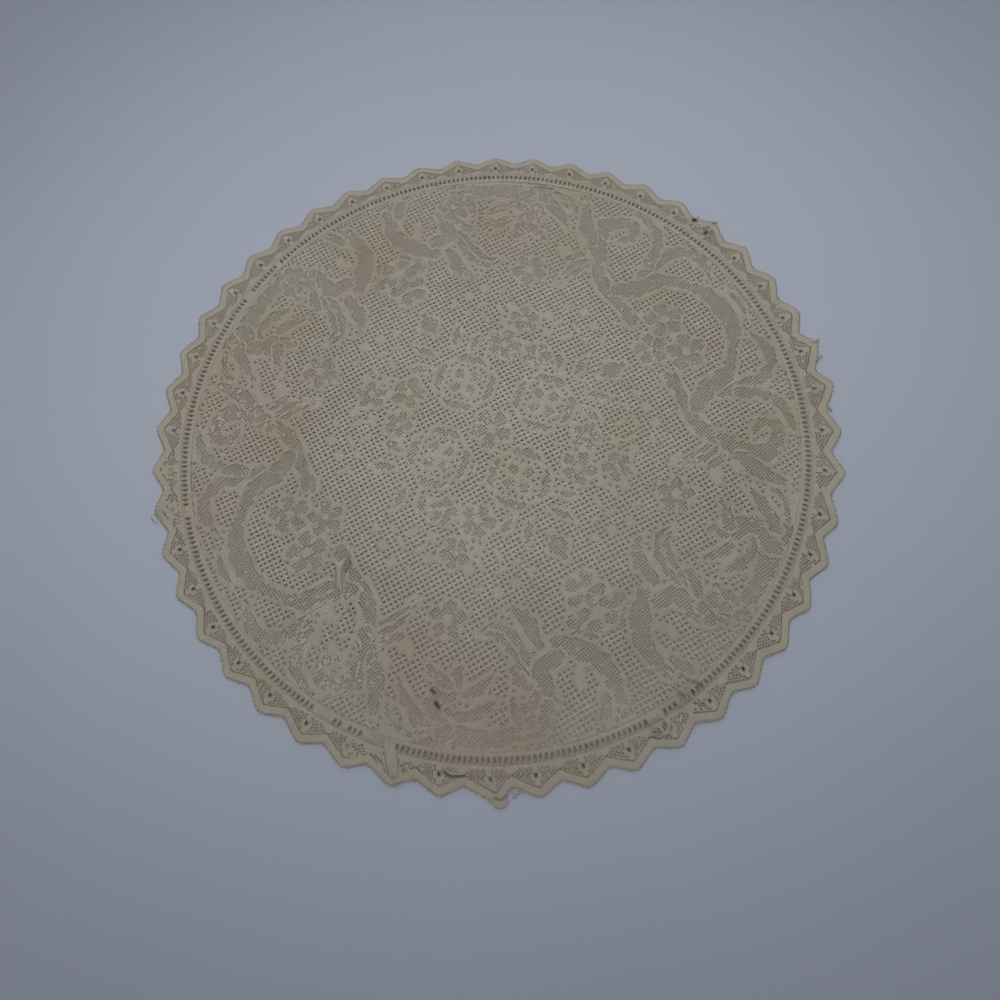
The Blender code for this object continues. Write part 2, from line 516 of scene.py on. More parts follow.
@dataclass
class Dot:
    """A small cross of filled meshes in millimetres."""

    x: float
    y: float
    reach: float = 2.2
    half_width: float = 0.9
    line: float = 0.0
    fill: Work = Work.CLOTH

    def near(self, points: np.ndarray) -> np.ndarray:
        """Mask of the points that the dot may reach."""
        return (np.abs(points - (self.x, self.y)) < self.reach).all(1)

    def gap(self, points: np.ndarray) -> np.ndarray:
        """Distance from each point to the cross, negative inside.

        Args:
            points: one row of x and y for each point.

        Returns:
            A distance for each point.
        """
        across, up = np.abs(points - (self.x, self.y)).T
        flat_arm = np.maximum(across - self.reach, up - self.half_width)
        tall_arm = np.maximum(up - self.reach, across - self.half_width)
        return np.minimum(flat_arm, tall_arm)

    def worked_solid(self, points: np.ndarray) -> np.ndarray:
        """A dot has nothing inside it."""
        return np.zeros(len(points), bool)


FOUR_WAYS = ((1, 1), (-1, 1), (1, -1), (-1, -1))
UP_DOWN = ((1, 1), (1, -1))
LEFT_RIGHT = ((1, 1), (-1, 1))


class MotifChart:
    """The worked pattern of the ground in millimetres, laid out in one quarter and mirrored."""

    def __init__(self) -> None:
        """Lay out every motif from the middle outwards."""
        self.motifs: list[Leaf | Flower | Dot] = []
        self.add_middle()
        self.add_inner_garland()
        self.add_outer_flowers()
        self.add_side_scrolls()
        self.add_corner_scrolls()
        self.add_head_work()

    def leaf(self, path: list, half_widths: list, ways: tuple = FOUR_WAYS, swapped: bool = False,
             **finish: object) -> None:
        """Add a leaf in each mirrored place, and with x and y swapped too where the pattern turns.

        Args:
            path: places along its middle.
            half_widths: half-widths spread along it.
            ways: signs of x and y in each mirrored place.
            swapped: whether to add it with x and y swapped too.
            finish: other fields of the leaf.
        """
        for mirror_x, mirror_y in ways:
            placed = [(x * mirror_x, y * mirror_y) for x, y in path]
            self.motifs.append(Leaf(placed, half_widths, **finish))
            if swapped:
                turned = [(y * mirror_x, x * mirror_y) for x, y in path]
                self.motifs.append(Leaf(turned, half_widths, **finish))

    def flower(self, x: float, y: float, radius: float, turn_deg: float = 90.0,
               ways: tuple = FOUR_WAYS) -> None:
        """Add a flower in each mirrored place."""
        for mirror_x, mirror_y in ways:
            self.motifs.append(Flower(x * mirror_x, y * mirror_y, radius, turn_deg * mirror_y))

    def add_middle(self) -> None:
        """The middle flower, and four roses round it, each ringed by four crescents."""
        self.motifs.append(Flower(0.0, 0.0, 10.8))
        for heading in (0, 90, 180, 270):
            x = 26.0 * math.cos(math.radians(heading))
            y = 26.0 * math.sin(math.radians(heading))
            for facing in (45, 135, 225, 315):
                turns = [math.radians(facing + heading + turn) for turn in (-36, -18, 0, 18, 36)]
                arc = [(x + 12.0 * math.cos(turn), y + 12.0 * math.sin(turn)) for turn in turns]
                self.motifs.append(Leaf(arc, [0.5, 2.0, 2.3, 2.0, 0.5], line=1.0))
            self.motifs.append(Flower(x, y, 8.4, heading, petals=4, line=1.0))

    def add_inner_garland(self) -> None:
        """Clusters of small flowers, four sprays with a bud, and scattered dots."""
        self.flower(39.5, 41, 7.6, 60)
        self.flower(24.5, 34, 8.6, 110)
        self.flower(35, 22.5, 7.4, 30)
        self.leaf([(0, 54.5), (0, 60), (0, 67)], [0.8, 3.9, 0.3], UP_DOWN, True)
        self.leaf([(4, 44.5), (8, 48.5), (11.5, 54)], [0.4, 2.2, 0.3], swapped=True)
        self.leaf([(11, 39.5), (14, 41.5), (17.5, 43)], [0.6, 2.0, 0.4], swapped=True)
        for x, y in ((15, 64), (23, 64.5), (31, 64), (37.5, 59.5), (26.5, 57.5), (18.5, 57),
                     (32, 51.5), (24, 50.5), (45, 30), (50, 38)):
            for mirror_x, mirror_y in FOUR_WAYS:
                self.motifs.append(Dot(x * mirror_x, y * mirror_y))
                self.motifs.append(Dot(y * mirror_x, x * mirror_y))

    def add_outer_flowers(self) -> None:
        """Four single flowers, and a group of three at each side, head and foot."""
        self.flower(54, 63.5, 9.4)
        self.flower(94, 9.4, 10.2, 0)
        self.flower(80.5, 0, 9.0, 0, LEFT_RIGHT)
        self.flower(0, 81.5, 9.4, 90, UP_DOWN)
        self.flower(8.2, 94, 9.0, 90)

    def add_side_scrolls(self) -> None:
        """The corner leaves, the stem with its bulb, and the curved band round the side group."""
        self.leaf([(84, 52), (74, 54), (61, 51)], [1.4, 3.4, 0.8], vein=1.3)
        self.leaf([(84, 52), (80, 42), (80, 31), (81.5, 21.5), (81, 17.5)], [2.6, 3.2, 2.4, 2.4, 3.8])
        self.leaf([(73, 60.5), (80, 59)], [1.4, 1.8])
        half_band = [(84, 34), (92, 29.5), (102, 28), (111, 21), (118, 11)]
        half_widths = [2.8, 4.4, 4.0, 2.2, 3.4]
        band = half_band + [(120, 0)] + [(x, -y) for x, y in reversed(half_band)]
        self.leaf(band, half_widths + [4.2] + half_widths[::-1], LEFT_RIGHT)
        self.leaf([(96, 34.5), (106, 36), (117, 36.5), (124.5, 32), (126, 24), (124, 16.5)],
                  [1.5, 3.2, 2.6, 2.8, 2.6, 0.8])
        self.leaf([(127.5, 8), (128.5, 0), (127.5, -8)], [0.4, 1.2, 0.4], LEFT_RIGHT)

    def add_corner_scrolls(self) -> None:
        """Curled scrolls and leaves between the side band and the head work."""
        self.leaf([(104, 38), (112, 43), (116.5, 52), (114.5, 64)], [2.6, 2.4, 2.4, 0.8])
        self.leaf([(86, 52), (89, 60), (96, 66), (104, 65), (109, 59), (105, 54), (99, 56)],
                  [2.8, 4.4, 4.2, 3.0, 2.4, 2.2, 1.6])
        self.leaf([(87, 64), (91, 73), (97, 82)], [3.4, 3.4, 1.2])
        self.leaf([(74, 64), (73, 68)], [0.8, 0.8], fill=Work.CLOTH)
        self.leaf([(84, 64), (83.5, 68)], [0.8, 0.8], fill=Work.CLOTH)
        self.leaf([(94, 88), (84, 98), (76, 102), (66, 109.5), (54, 115), (44, 118)],
                  [1.4, 3.2, 4.6, 3.6, 2.8, 3.6])
        self.leaf([(59, 83), (66, 88), (74, 89), (76, 95), (76, 102)], [1.8, 4.2, 3.6, 3.0, 3.6])
        self.leaf([(69, 74), (68.5, 79), (66, 86)], [0.6, 2.0, 2.4])
        self.leaf([(81.5, 74), (83, 84), (82, 96)], [0.7, 2.4, 2.6])
        self.leaf([(90, 80), (92, 87), (88, 96)], [0.5, 1.6, 0.6])
        self.leaf([(49, 92), (55, 93.5), (62, 93)], [0.8, 2.1, 2.0])
        self.leaf([(53, 100.5), (60, 101.5), (67, 99.5), (71, 95)], [0.9, 2.4, 2.2, 1.2])

    def add_head_work(self) -> None:
        """The leaf sprays and the close work at the head and foot."""
        self.leaf([(27, 91), (26, 82), (28, 75), (33, 72)], [2.0, 3.0, 2.4, 0.6])
        self.leaf([(36, 97), (35.5, 86), (39, 77), (47, 74.5)], [2.4, 3.8, 3.2, 0.6], vein=1.1)
        self.leaf([(41, 92), (41, 98), (38.5, 106)], [0.8, 2.4, 1.0])
        self.leaf([(20, 94), (13, 102), (8.5, 112), (11, 125)], [3.2, 4.4, 3.6, 2.4])
        self.leaf([(23, 99), (31, 99.5), (33, 107), (32, 114)], [2.8, 3.4, 3.0, 0.8])
        self.leaf([(15, 121), (19, 127)], [2.0, 2.4])
        self.flower(41, 112.5, 8.6, 80)
        self.leaf([(47, 103), (49, 110), (50, 115)], [0.8, 2.0, 1.0])
        self.leaf([(21, 112), (18.5, 107)], [0.9, 0.9], fill=Work.CLOTH)

    def work_at(self, points: np.ndarray) -> np.ndarray:
        """What is worked at each point.

        Args:
            points: one row for each place on the chart, in millimetres.

        Returns:
            A Work for each point.
        """
        work = np.full(len(points), Work.OPEN, object)
        for motif in self.motifs:
            near = np.nonzero(motif.near(points))[0]
            here = points[near]
            gap = motif.gap(here)
            work[near[gap < motif.line]] = Work.CLOTH
            work[near[gap < 0.0]] = motif.fill
            work[near[(gap < motif.line) & motif.worked_solid(here)]] = Work.CLOTH
        return work


# ------------------------------------------------------------------ lace making


@dataclass(frozen=True)
class Heights:
    """How high the parts of the lace stand above the table, in millimetres."""

    under: float = 0.30
    knot: float = 0.88
    bar: float = 0.84
    hole: float = 0.64
    fine: float = 0.80
    fine_hole: float = 0.58
    cloth: float = 0.88
    cloth_crown: float = 1.01


class LaceSheet:
    """A closed sheet of lace, knotted mesh by mesh in millimetres.

    A corner is named by a key, so that meshes that share a corner share its points.
    """

    def __init__(self, name: str, place_of: Callable[[Hashable], Pair], under: float,
                 around: float = math.inf) -> None:
        """Start an empty sheet.

        Args:
            name: name of the piece.
            place_of: gives the flat place of a corner.
            under: height of the underside.
            around: how far along the sheet it meets its own start.
        """
        self.name = name
        self.under = under
        self.place_of = place_of
        self.around = around
        self.places: list[Pair] = []
        self.heights: list[float] = []
        self.faces: list[list[int]] = []
        self.upper: dict[Hashable, int] = {}
        self.lower: dict[Hashable, int] = {}
        self.sides: dict[frozenset, list[Hashable]] = {}

    def point(self, place: Pair, height: float) -> int:
        """Add a point and give its number."""
        self.places.append((float(place[0]), float(place[1])))
        self.heights.append(height)
        return len(self.places) - 1

    def corner(self, key: Hashable, height: float) -> int:
        """The upper point at a corner, made where it isn't there yet.

        Args:
            key: name of the corner.
            height: how high its point stands at least.

        Returns:
            Number of the point.
        """
        if key not in self.upper:
            self.upper[key] = self.point(self.place_of(key), height)
        number = self.upper[key]
        self.heights[number] = max(self.heights[number], height)
        return number

    def foot(self, key: Hashable) -> int:
        """The lower point at a corner, made where it isn't there yet."""
        if key not in self.lower:
            self.lower[key] = self.point(self.place_of(key), self.under)
        return self.lower[key]

    def note_side(self, keys: list[Hashable]) -> None:
        """Remember a mesh's side until its neighbour is knotted to it."""
        name = frozenset((keys[0], keys[-1]))
        if self.sides.pop(name, None) is None:
            self.sides[name] = keys

    def outline(self, border: list[Hashable]) -> np.ndarray:
        """Places of a mesh's corners, kept together where the sheet meets itself.

        Args:
            border: keys round the mesh.

        Returns:
            One row for each key.
        """
        places = np.array([self.place_of(key) for key in border], float)
        past = places[:, 0] - places[0, 0]
        if math.isfinite(self.around):
            past = (past + self.around / 2) % self.around - self.around / 2
        places[:, 0] = places[0, 0] + past
        return places

    def open_mesh(self, border: list[Hashable], heights: list[float], ring: Iterable, hole_height: float,
                  foot_step: int = 1) -> None:
        """Knot one open mesh.

        Args:
            border: keys round the mesh, anticlockwise.
            heights: height of each of them.
            ring: as many places round the hole.
            hole_height: height of the thread's middle, where the hole is narrowest.
            foot_step: every how many keys the border has a corner on the underside.
        """
        count = len(border)
        tops = [self.corner(key, height) for key, height in zip(border, heights)]
        inner = [self.point(place, hole_height) for place in ring]
        for k in range(count):
            after = (k + 1) % count
            self.faces.append([tops[k], tops[after], inner[after], inner[k]])
        for k in range(0, count, foot_step):
            stretch = [(k + step) % count for step in range(foot_step + 1)]
            under = [inner[step] for step in stretch]
            self.faces.append([self.foot(border[stretch[-1]]), self.foot(border[k]), *under])
            self.note_side([border[step] for step in stretch])

    def filled_mesh(self, border: list[Hashable], height: float, crown: float) -> None:
        """Fill one mesh with thread that swells to its crown.

        Args:
            border: keys round the mesh, anticlockwise.
            height: height of its corners.
            crown: height of its middle.
        """
        tops = [self.corner(key, height) for key in border]
        middle = self.point(self.outline(border).mean(0), crown)
        for k, top in enumerate(tops):
            after = (k + 1) % len(tops)
            self.faces.append([top, tops[after], middle])
            self.note_side([border[k], border[after]])
        self.faces.append([self.foot(key) for key in reversed(border)])

    def finish(self, lay_down: Callable[[np.ndarray], np.ndarray], lift: Callable) -> Piece:
        """Close the rim and make the piece.

        Args:
            lay_down: turns flat places in millimetres into x and y in metres.
            lift: height of the cloth's underside at x and y in metres.

        Returns:
            The piece, with smooth faces but for its rim.
        """
        woven = len(self.faces)
        for keys in self.sides.values():
            tops = [self.upper[key] for key in keys]
            self.faces.append([self.foot(keys[0]), self.foot(keys[-1]), *reversed(tops)])
        flat = lay_down(np.array(self.places))
        height = lift(flat[:, 0], flat[:, 1]) + np.array(self.heights) * MM
        piece = new_piece(self.name, np.column_stack([flat, height]).tolist(), self.faces)
        piece.data.polygons.foreach_set("use_smooth", np.arange(len(self.faces)) < woven)
        piece.data.update()
        return piece


def new_piece(name: str, points: list, faces: list) -> Piece:
    """Make a piece with smooth faces.

    Args:
        name: name of the piece.
        points: x, y and z of each point.
        faces: numbers of the points round each face.

    Returns:
        The piece.
    """
    mesh = bpy.data.meshes.new(name)
    mesh.from_pydata(points, [], faces)
    mesh.shade_smooth()
    piece = bpy.data.objects.new(name, mesh)
    bpy.context.collection.objects.link(piece)
    return piece


def ring_round(middle: np.ndarray, half_width: float, half_height: float,
               corner_share: float = 0.80) -> list[Pair]:
    """Eight places round a hole with soft corners, anticlockwise from its lower left corner.

    Args:
        middle: middle of the hole.
        half_width: half its width.
        half_height: half its height.
        corner_share: how far out its corners are, as a share of a rectangle's.

    Returns:
        The eight places.
    """
    turn = ((-1, -1), (0, -1), (1, -1), (1, 0), (1, 1), (0, 1), (-1, 1), (-1, 0))
    places = []
    for x, y in turn:
        soften = corner_share if x and y else 1.0
        places.append((middle[0] + x * half_width * soften, middle[1] + y * half_height * soften))
    return places


def triangles(piece: Piece) -> int:
    """Number of triangles of a piece."""
    return sum(len(face.vertices) - 2 for face in piece.data.polygons)


@dataclass(frozen=True)
class Unevenness:
    """Small differences from mesh to mesh: how far the corners stray in millimetres, and the slack."""

    wander: float
    farthest: float
    slack_spread: float = 0.09
    slack_range: Pair = (0.75, 1.2)

    def draw(self, seed: int, shape: tuple[int, int]) -> tuple[np.ndarray, np.ndarray, np.ndarray]:
        """Draw the differences for a sheet.

        Args:
            seed: start of the random numbers.
            shape: columns and rows of the sheet.

        Returns:
            How far each corner strays, each mesh's luck from 0 to 1, and its slack.
        """
        random = np.random.default_rng(seed)
        strays = random.normal(0.0, self.wander, (*shape, 2)).clip(-self.farthest, self.farthest)
        luck = random.random(shape)
        slack = random.normal(1.0, self.slack_spread, shape).clip(*self.slack_range)
        return strays, luck, slack


@dataclass
class Ground:
    """The round panel in millimetres: open net, outlines filled with thread, and fine net in the motifs.

    Places on the chart are counted in half meshes of the open net. The fine net runs aslant: seven of its
    meshes along and one up make four of the open net's. fine_shut holds the share of meshes that are shut
    everywhere, and the share more where the thread is fully matted.
    """

    lay: ClothLay
    ageing_and_shade: AgeingAndShade
    chart: MotifChart
    pitch: float = 2.08
    rim: float = 132.82
    hem: float = 0.5
    chart_turn_deg: float = 21.5
    hole_half: Pair = (0.55, 0.345)
    tighter_outside: float = 0.07
    fine_hole_half: float = 0.272
    fine_steps: tuple[int, int] = (7, 1)
    fine_span: int = 4
    fine_mesh: float = 1.13
    fine_shut: Pair = (0.01, 0.8)
    drawn_in: Pair = (0.6, 0.4)
    matted_shut: float = 0.55
    matted_tighter: float = 0.5
    part_filled: float = 0.8
    widest_share: float = 0.62
    spare: int = 8
    slow_sway: float = 0.70
    slow_lengths: Pair = (31.0, 27.0)
    slow_starts: Pair = (0.6, 1.9)
    quick_sway: float = 0.25
    quick_lengths: Pair = (11.0, 13.0)
    cross_lengths: Pair = (47.0, 41.0)
    unevenness: Unevenness = Unevenness(0.07, 0.16)
    split_radius: float = 84.0
    heights: Heights = Heights()

    def __post_init__(self) -> None:
        """Draw the small differences from mesh to mesh, and read the chart at each half mesh."""
        self.half = self.pitch / 2
        self.reach = 2 * math.ceil(self.rim / self.pitch)
        size = 2 * self.reach + self.spare
        self.strays, self.luck, self.slack = self.unevenness.draw(SEED, (size, size))
        numbers = np.arange(-self.reach, self.reach)
        columns, rows = np.meshgrid(numbers, numbers, indexing="ij")
        middles = np.stack([columns.ravel() + 0.5, rows.ravel() + 0.5], 1) * self.half
        table = self.lay_down(middles)
        self.work = self.chart.work_at(middles).reshape(columns.shape)
        self.closed_up = self.ageing_and_shade.matting(table[:, 0], table[:, 1]).reshape(columns.shape)
        handled = self.ageing_and_shade.handling(table[:, 0], table[:, 1])
        heading = np.degrees(np.arctan2(table[:, 1], table[:, 0]))
        share = np.hypot(table[:, 0], table[:, 1]) / self.lay.pulled_fully_from
        openness = self.lay.stretch(heading, share.clip(0.0, 1.0)) * (1.0 - self.tighter_outside * handled)
        self.openness = openness.reshape(columns.shape)
        self.opened = np.zeros(columns.shape, bool)

    def index(self, column: float, row: float) -> tuple[int, int]:
        """Where the half mesh at a place is kept in the chart's arrays."""
        last = 2 * self.reach - 1
        return tuple(min(max(math.floor(place) + self.reach, 0), last) for place in (column, row))

    def warped(self, x: float, y: float, stray: np.ndarray) -> Pair:
        """Place of a corner on the slack cloth, drawn in to the rim where it is past it.

        Args:
            x: x on the even net.
            y: y on the even net.
            stray: how far the corner strays.

        Returns:
            Its x and y.
        """
        slow, quick = self.slow_sway, self.quick_sway
        (long_x, long_y), (start_x, start_y) = self.slow_lengths, self.slow_starts
        (short_x, short_y), (cross_x, cross_y) = self.quick_lengths, self.cross_lengths
        x, y = (x + slow * math.sin(y / long_x + start_x) + quick * math.sin(y / short_x + x / cross_x)
                + stray[0],
                y + slow * math.sin(x / long_y + start_y) + quick * math.sin(x / short_y - y / cross_y)
                + stray[1])
        radius = math.hypot(x, y)
        if radius > self.rim:
            x, y = x * self.rim / radius, y * self.rim / radius
        return x, y

    def corner(self, key: tuple[int, int]) -> Pair:
        """Flat place of a corner of the half meshes."""
        return self.warped(key[0] * self.half, key[1] * self.half, self.strays[key])

    def fine_place(self, along: float, up: float) -> Pair:
        """Place of the slanting fine net, in half meshes of the open net."""
        x, y = self.fine_steps
        scale = 2.0 * self.fine_span / (x * x + y * y)
        return (along * x - up * y) * scale, (along * y + up * x) * scale

    def fine_corner(self, key: tuple[int, int]) -> Pair:
        """Flat place of a corner of the fine net."""
        column, row = self.fine_place(*key)
        return self.warped(column * self.half, row * self.half, 0.5 * self.strays[key])

    def lay_down(self, flat: np.ndarray) -> np.ndarray:
        """Turn chart places in millimetres into places on the table in metres.

        Args:
            flat: one row of x and y for each place.

        Returns:
            One row of x and y for each place.
        """
        turn = math.radians(self.chart_turn_deg)
        x = flat[:, 0] * math.cos(turn) - flat[:, 1] * math.sin(turn)
        y = flat[:, 0] * math.sin(turn) + flat[:, 1] * math.cos(turn)
        return np.stack([x, y], 1) * MM

    def inside(self, column: float, row: float, margin: float = 0.0) -> bool:
        """Whether a place is inside the rim by a margin."""
        return math.hypot(column, row) * self.half < self.rim - margin

    def build(self) -> list[Piece]:
        """Knot the panel: open net, filled work, and fine net near the middle and beyond.

        Returns:
            The open net, the filled work and the two sheets of fine net.
        """
        under = self.heights.under
        net = LaceSheet("net_ground", self.corner, under)
        cloth = LaceSheet("cloth_work", self.corner, under)
        meshes = [(column, row) for column in range(-self.reach, self.reach, 2)
                  for row in range(-self.reach, self.reach, 2)
                  if any(self.inside(column + x, row + y) for x in (0, 2) for y in (0, 2))]
        closed = [mesh for mesh in meshes if not self.knot_open(net, *mesh)]
        for column, row in closed:
            self.fill(cloth, column, row)
        fine_inner = LaceSheet("fine_net_inner", self.fine_corner, under)
        fine_outer = LaceSheet("fine_net_outer", self.fine_corner, under)
        for along in range(-self.reach, self.reach):
            for up in range(-self.reach, self.reach):
                middle = self.fine_place(along + 0.5, up + 0.5)
                if self.inside(*middle, self.hem):
                    near = self.inside(*middle, self.rim - self.split_radius)
                    self.knot_fine(fine_inner if near else fine_outer, along, up, middle)
        sheets = (net, cloth, fine_inner, fine_outer)
        return [sheet.finish(self.lay_down, self.lay.lift) for sheet in sheets]

    def quarters(self, column: int, row: int) -> list[tuple[int, int]]:
        """The four half meshes of a full mesh."""
        return [(column + x, row + y) for x in (0, 1) for y in (0, 1)]

    def beside_open(self, column: int, row: int) -> bool:
        """Whether a half mesh touches an open mesh of the net."""
        return any(self.opened[self.index(column + x, row + y)] for x in (-1, 0, 1) for y in (-1, 0, 1))

    def knot_open(self, net: LaceSheet, column: int, row: int) -> bool:
        """Knot one full mesh with a slightly uneven hole, where the chart leaves it open.

        Args:
            net: sheet to knot it into.
            column: column of its lower left half mesh.
            row: row of its lower left half mesh.

        Returns:
            Whether the chart leaves it open, so that it was knotted.
        """
        quarters = [self.index(*quarter) for quarter in self.quarters(column, row)]
        open_quarters = sum(self.work[quarter] is Work.OPEN for quarter in quarters)
        closed_up = self.closed_up[self.index(column + 1, row + 1)]
        if open_quarters < 3 or self.luck[column, row] < self.matted_shut * closed_up \
                or not self.inside(column + 1, row + 1, self.hem):
            return False
        for quarter in quarters:
            self.opened[quarter] = True
        tightness = 1.0 if open_quarters == 4 else self.part_filled
        tightness *= 1.0 - self.matted_tighter * closed_up
        tightness *= self.openness[self.index(column + 1, row + 1)]
        turn = ((0, 0), (1, 0), (2, 0), (2, 1), (2, 2), (1, 2), (0, 2), (0, 1))
        border = [(column + x, row + y) for x, y in turn]
        outline = net.outline(border)
        middle = outline.mean(0)
        room = self.widest_share * np.linalg.norm(outline - middle, axis=1).min()
        off = self.strays[row, column]
        along, across = (half * self.slack[column, row] * tightness for half in self.hole_half)
        half_width, half_height = min(along * (1.0 + off[0]), room), min(across * (1.0 - off[0]), room)
        ring = ring_round(middle + off * 0.5, half_width, half_height)
        corner_heights = [self.heights.knot, self.heights.bar] * 4
        net.open_mesh(border, corner_heights, ring, self.heights.hole, foot_step=2)
        return True

    def fill(self, cloth: LaceSheet, column: int, row: int) -> None:
        """Fill the quarters of a full mesh with thread, but for those left to the fine net.

        Args:
            cloth: sheet to fill.
            column: column of the lower left quarter.
            row: row of the lower left quarter.
        """
        for c, r in self.quarters(column, row):
            border = [(c, r), (c + 1, r), (c + 1, r + 1), (c, r + 1)]
            solid = (self.work[self.index(c, r)] is not Work.FINE or self.beside_open(c, r)
                     or not self.inside(c + 0.5, r + 0.5, self.hem))
            if solid and any(self.inside(*key) for key in border):
                cloth.filled_mesh(border, self.heights.cloth, self.heights.cloth_crown)

    def knot_fine(self, sheet: LaceSheet, along: int, up: int, middle: Pair) -> None:
        """One mesh of the fine net: open inside a motif, closed under the filled outline, else left out.

        Args:
            sheet: sheet to knot it into.
            along: number of the mesh along the fine net.
            up: number of the mesh up the fine net.
            middle: its middle, in half meshes of the open net.
        """
        border = [(along, up), (along + 1, up), (along + 1, up + 1), (along, up + 1)]
        corners = [self.fine_place(*key) for key in border]
        spots = [self.index(*corner) for corner in corners]
        here = self.index(*middle)
        out, to_middle = self.drawn_in
        drawn_in = [self.index(out * x + to_middle * middle[0], out * y + to_middle * middle[1])
                    for x, y in corners]
        if any(self.opened[spot] for spot in (here, *drawn_in)) \
                or not any(self.work[spot] is Work.FINE for spot in (here, *spots)):
            return
        column, row = math.floor(middle[0]), math.floor(middle[1])
        covered = self.work[here] is not Work.FINE or self.beside_open(column, row)
        shut, shut_by_matting = self.fine_shut
        if covered or self.luck[along, up] < shut + shut_by_matting * self.closed_up[here]:
            sheet.filled_mesh(border, self.heights.fine, self.heights.fine)
            return
        outline = sheet.outline(border)
        size = 2.0 * self.fine_hole_half * self.slack[along, up] * self.openness[here]
        size /= self.half * self.fine_mesh
        ring = outline.mean(0) + (outline - outline.mean(0)) * size
        sheet.open_mesh(border, [self.heights.fine] * 4, ring, self.heights.fine_hole)


BAND_LINE, LADDER_LINE, JOIN_LINE, LAST_LINE = -1, -2, -3, -4


@dataclass(frozen=True)
class Arc:
    """A stretch of the rim between two headings in degrees."""

    start_deg: float
    end_deg: float

    def holds(self, heading_deg: float) -> bool:
        """Whether a heading is in the stretch."""
        return self.start_deg <= heading_deg % 360.0 <= self.end_deg


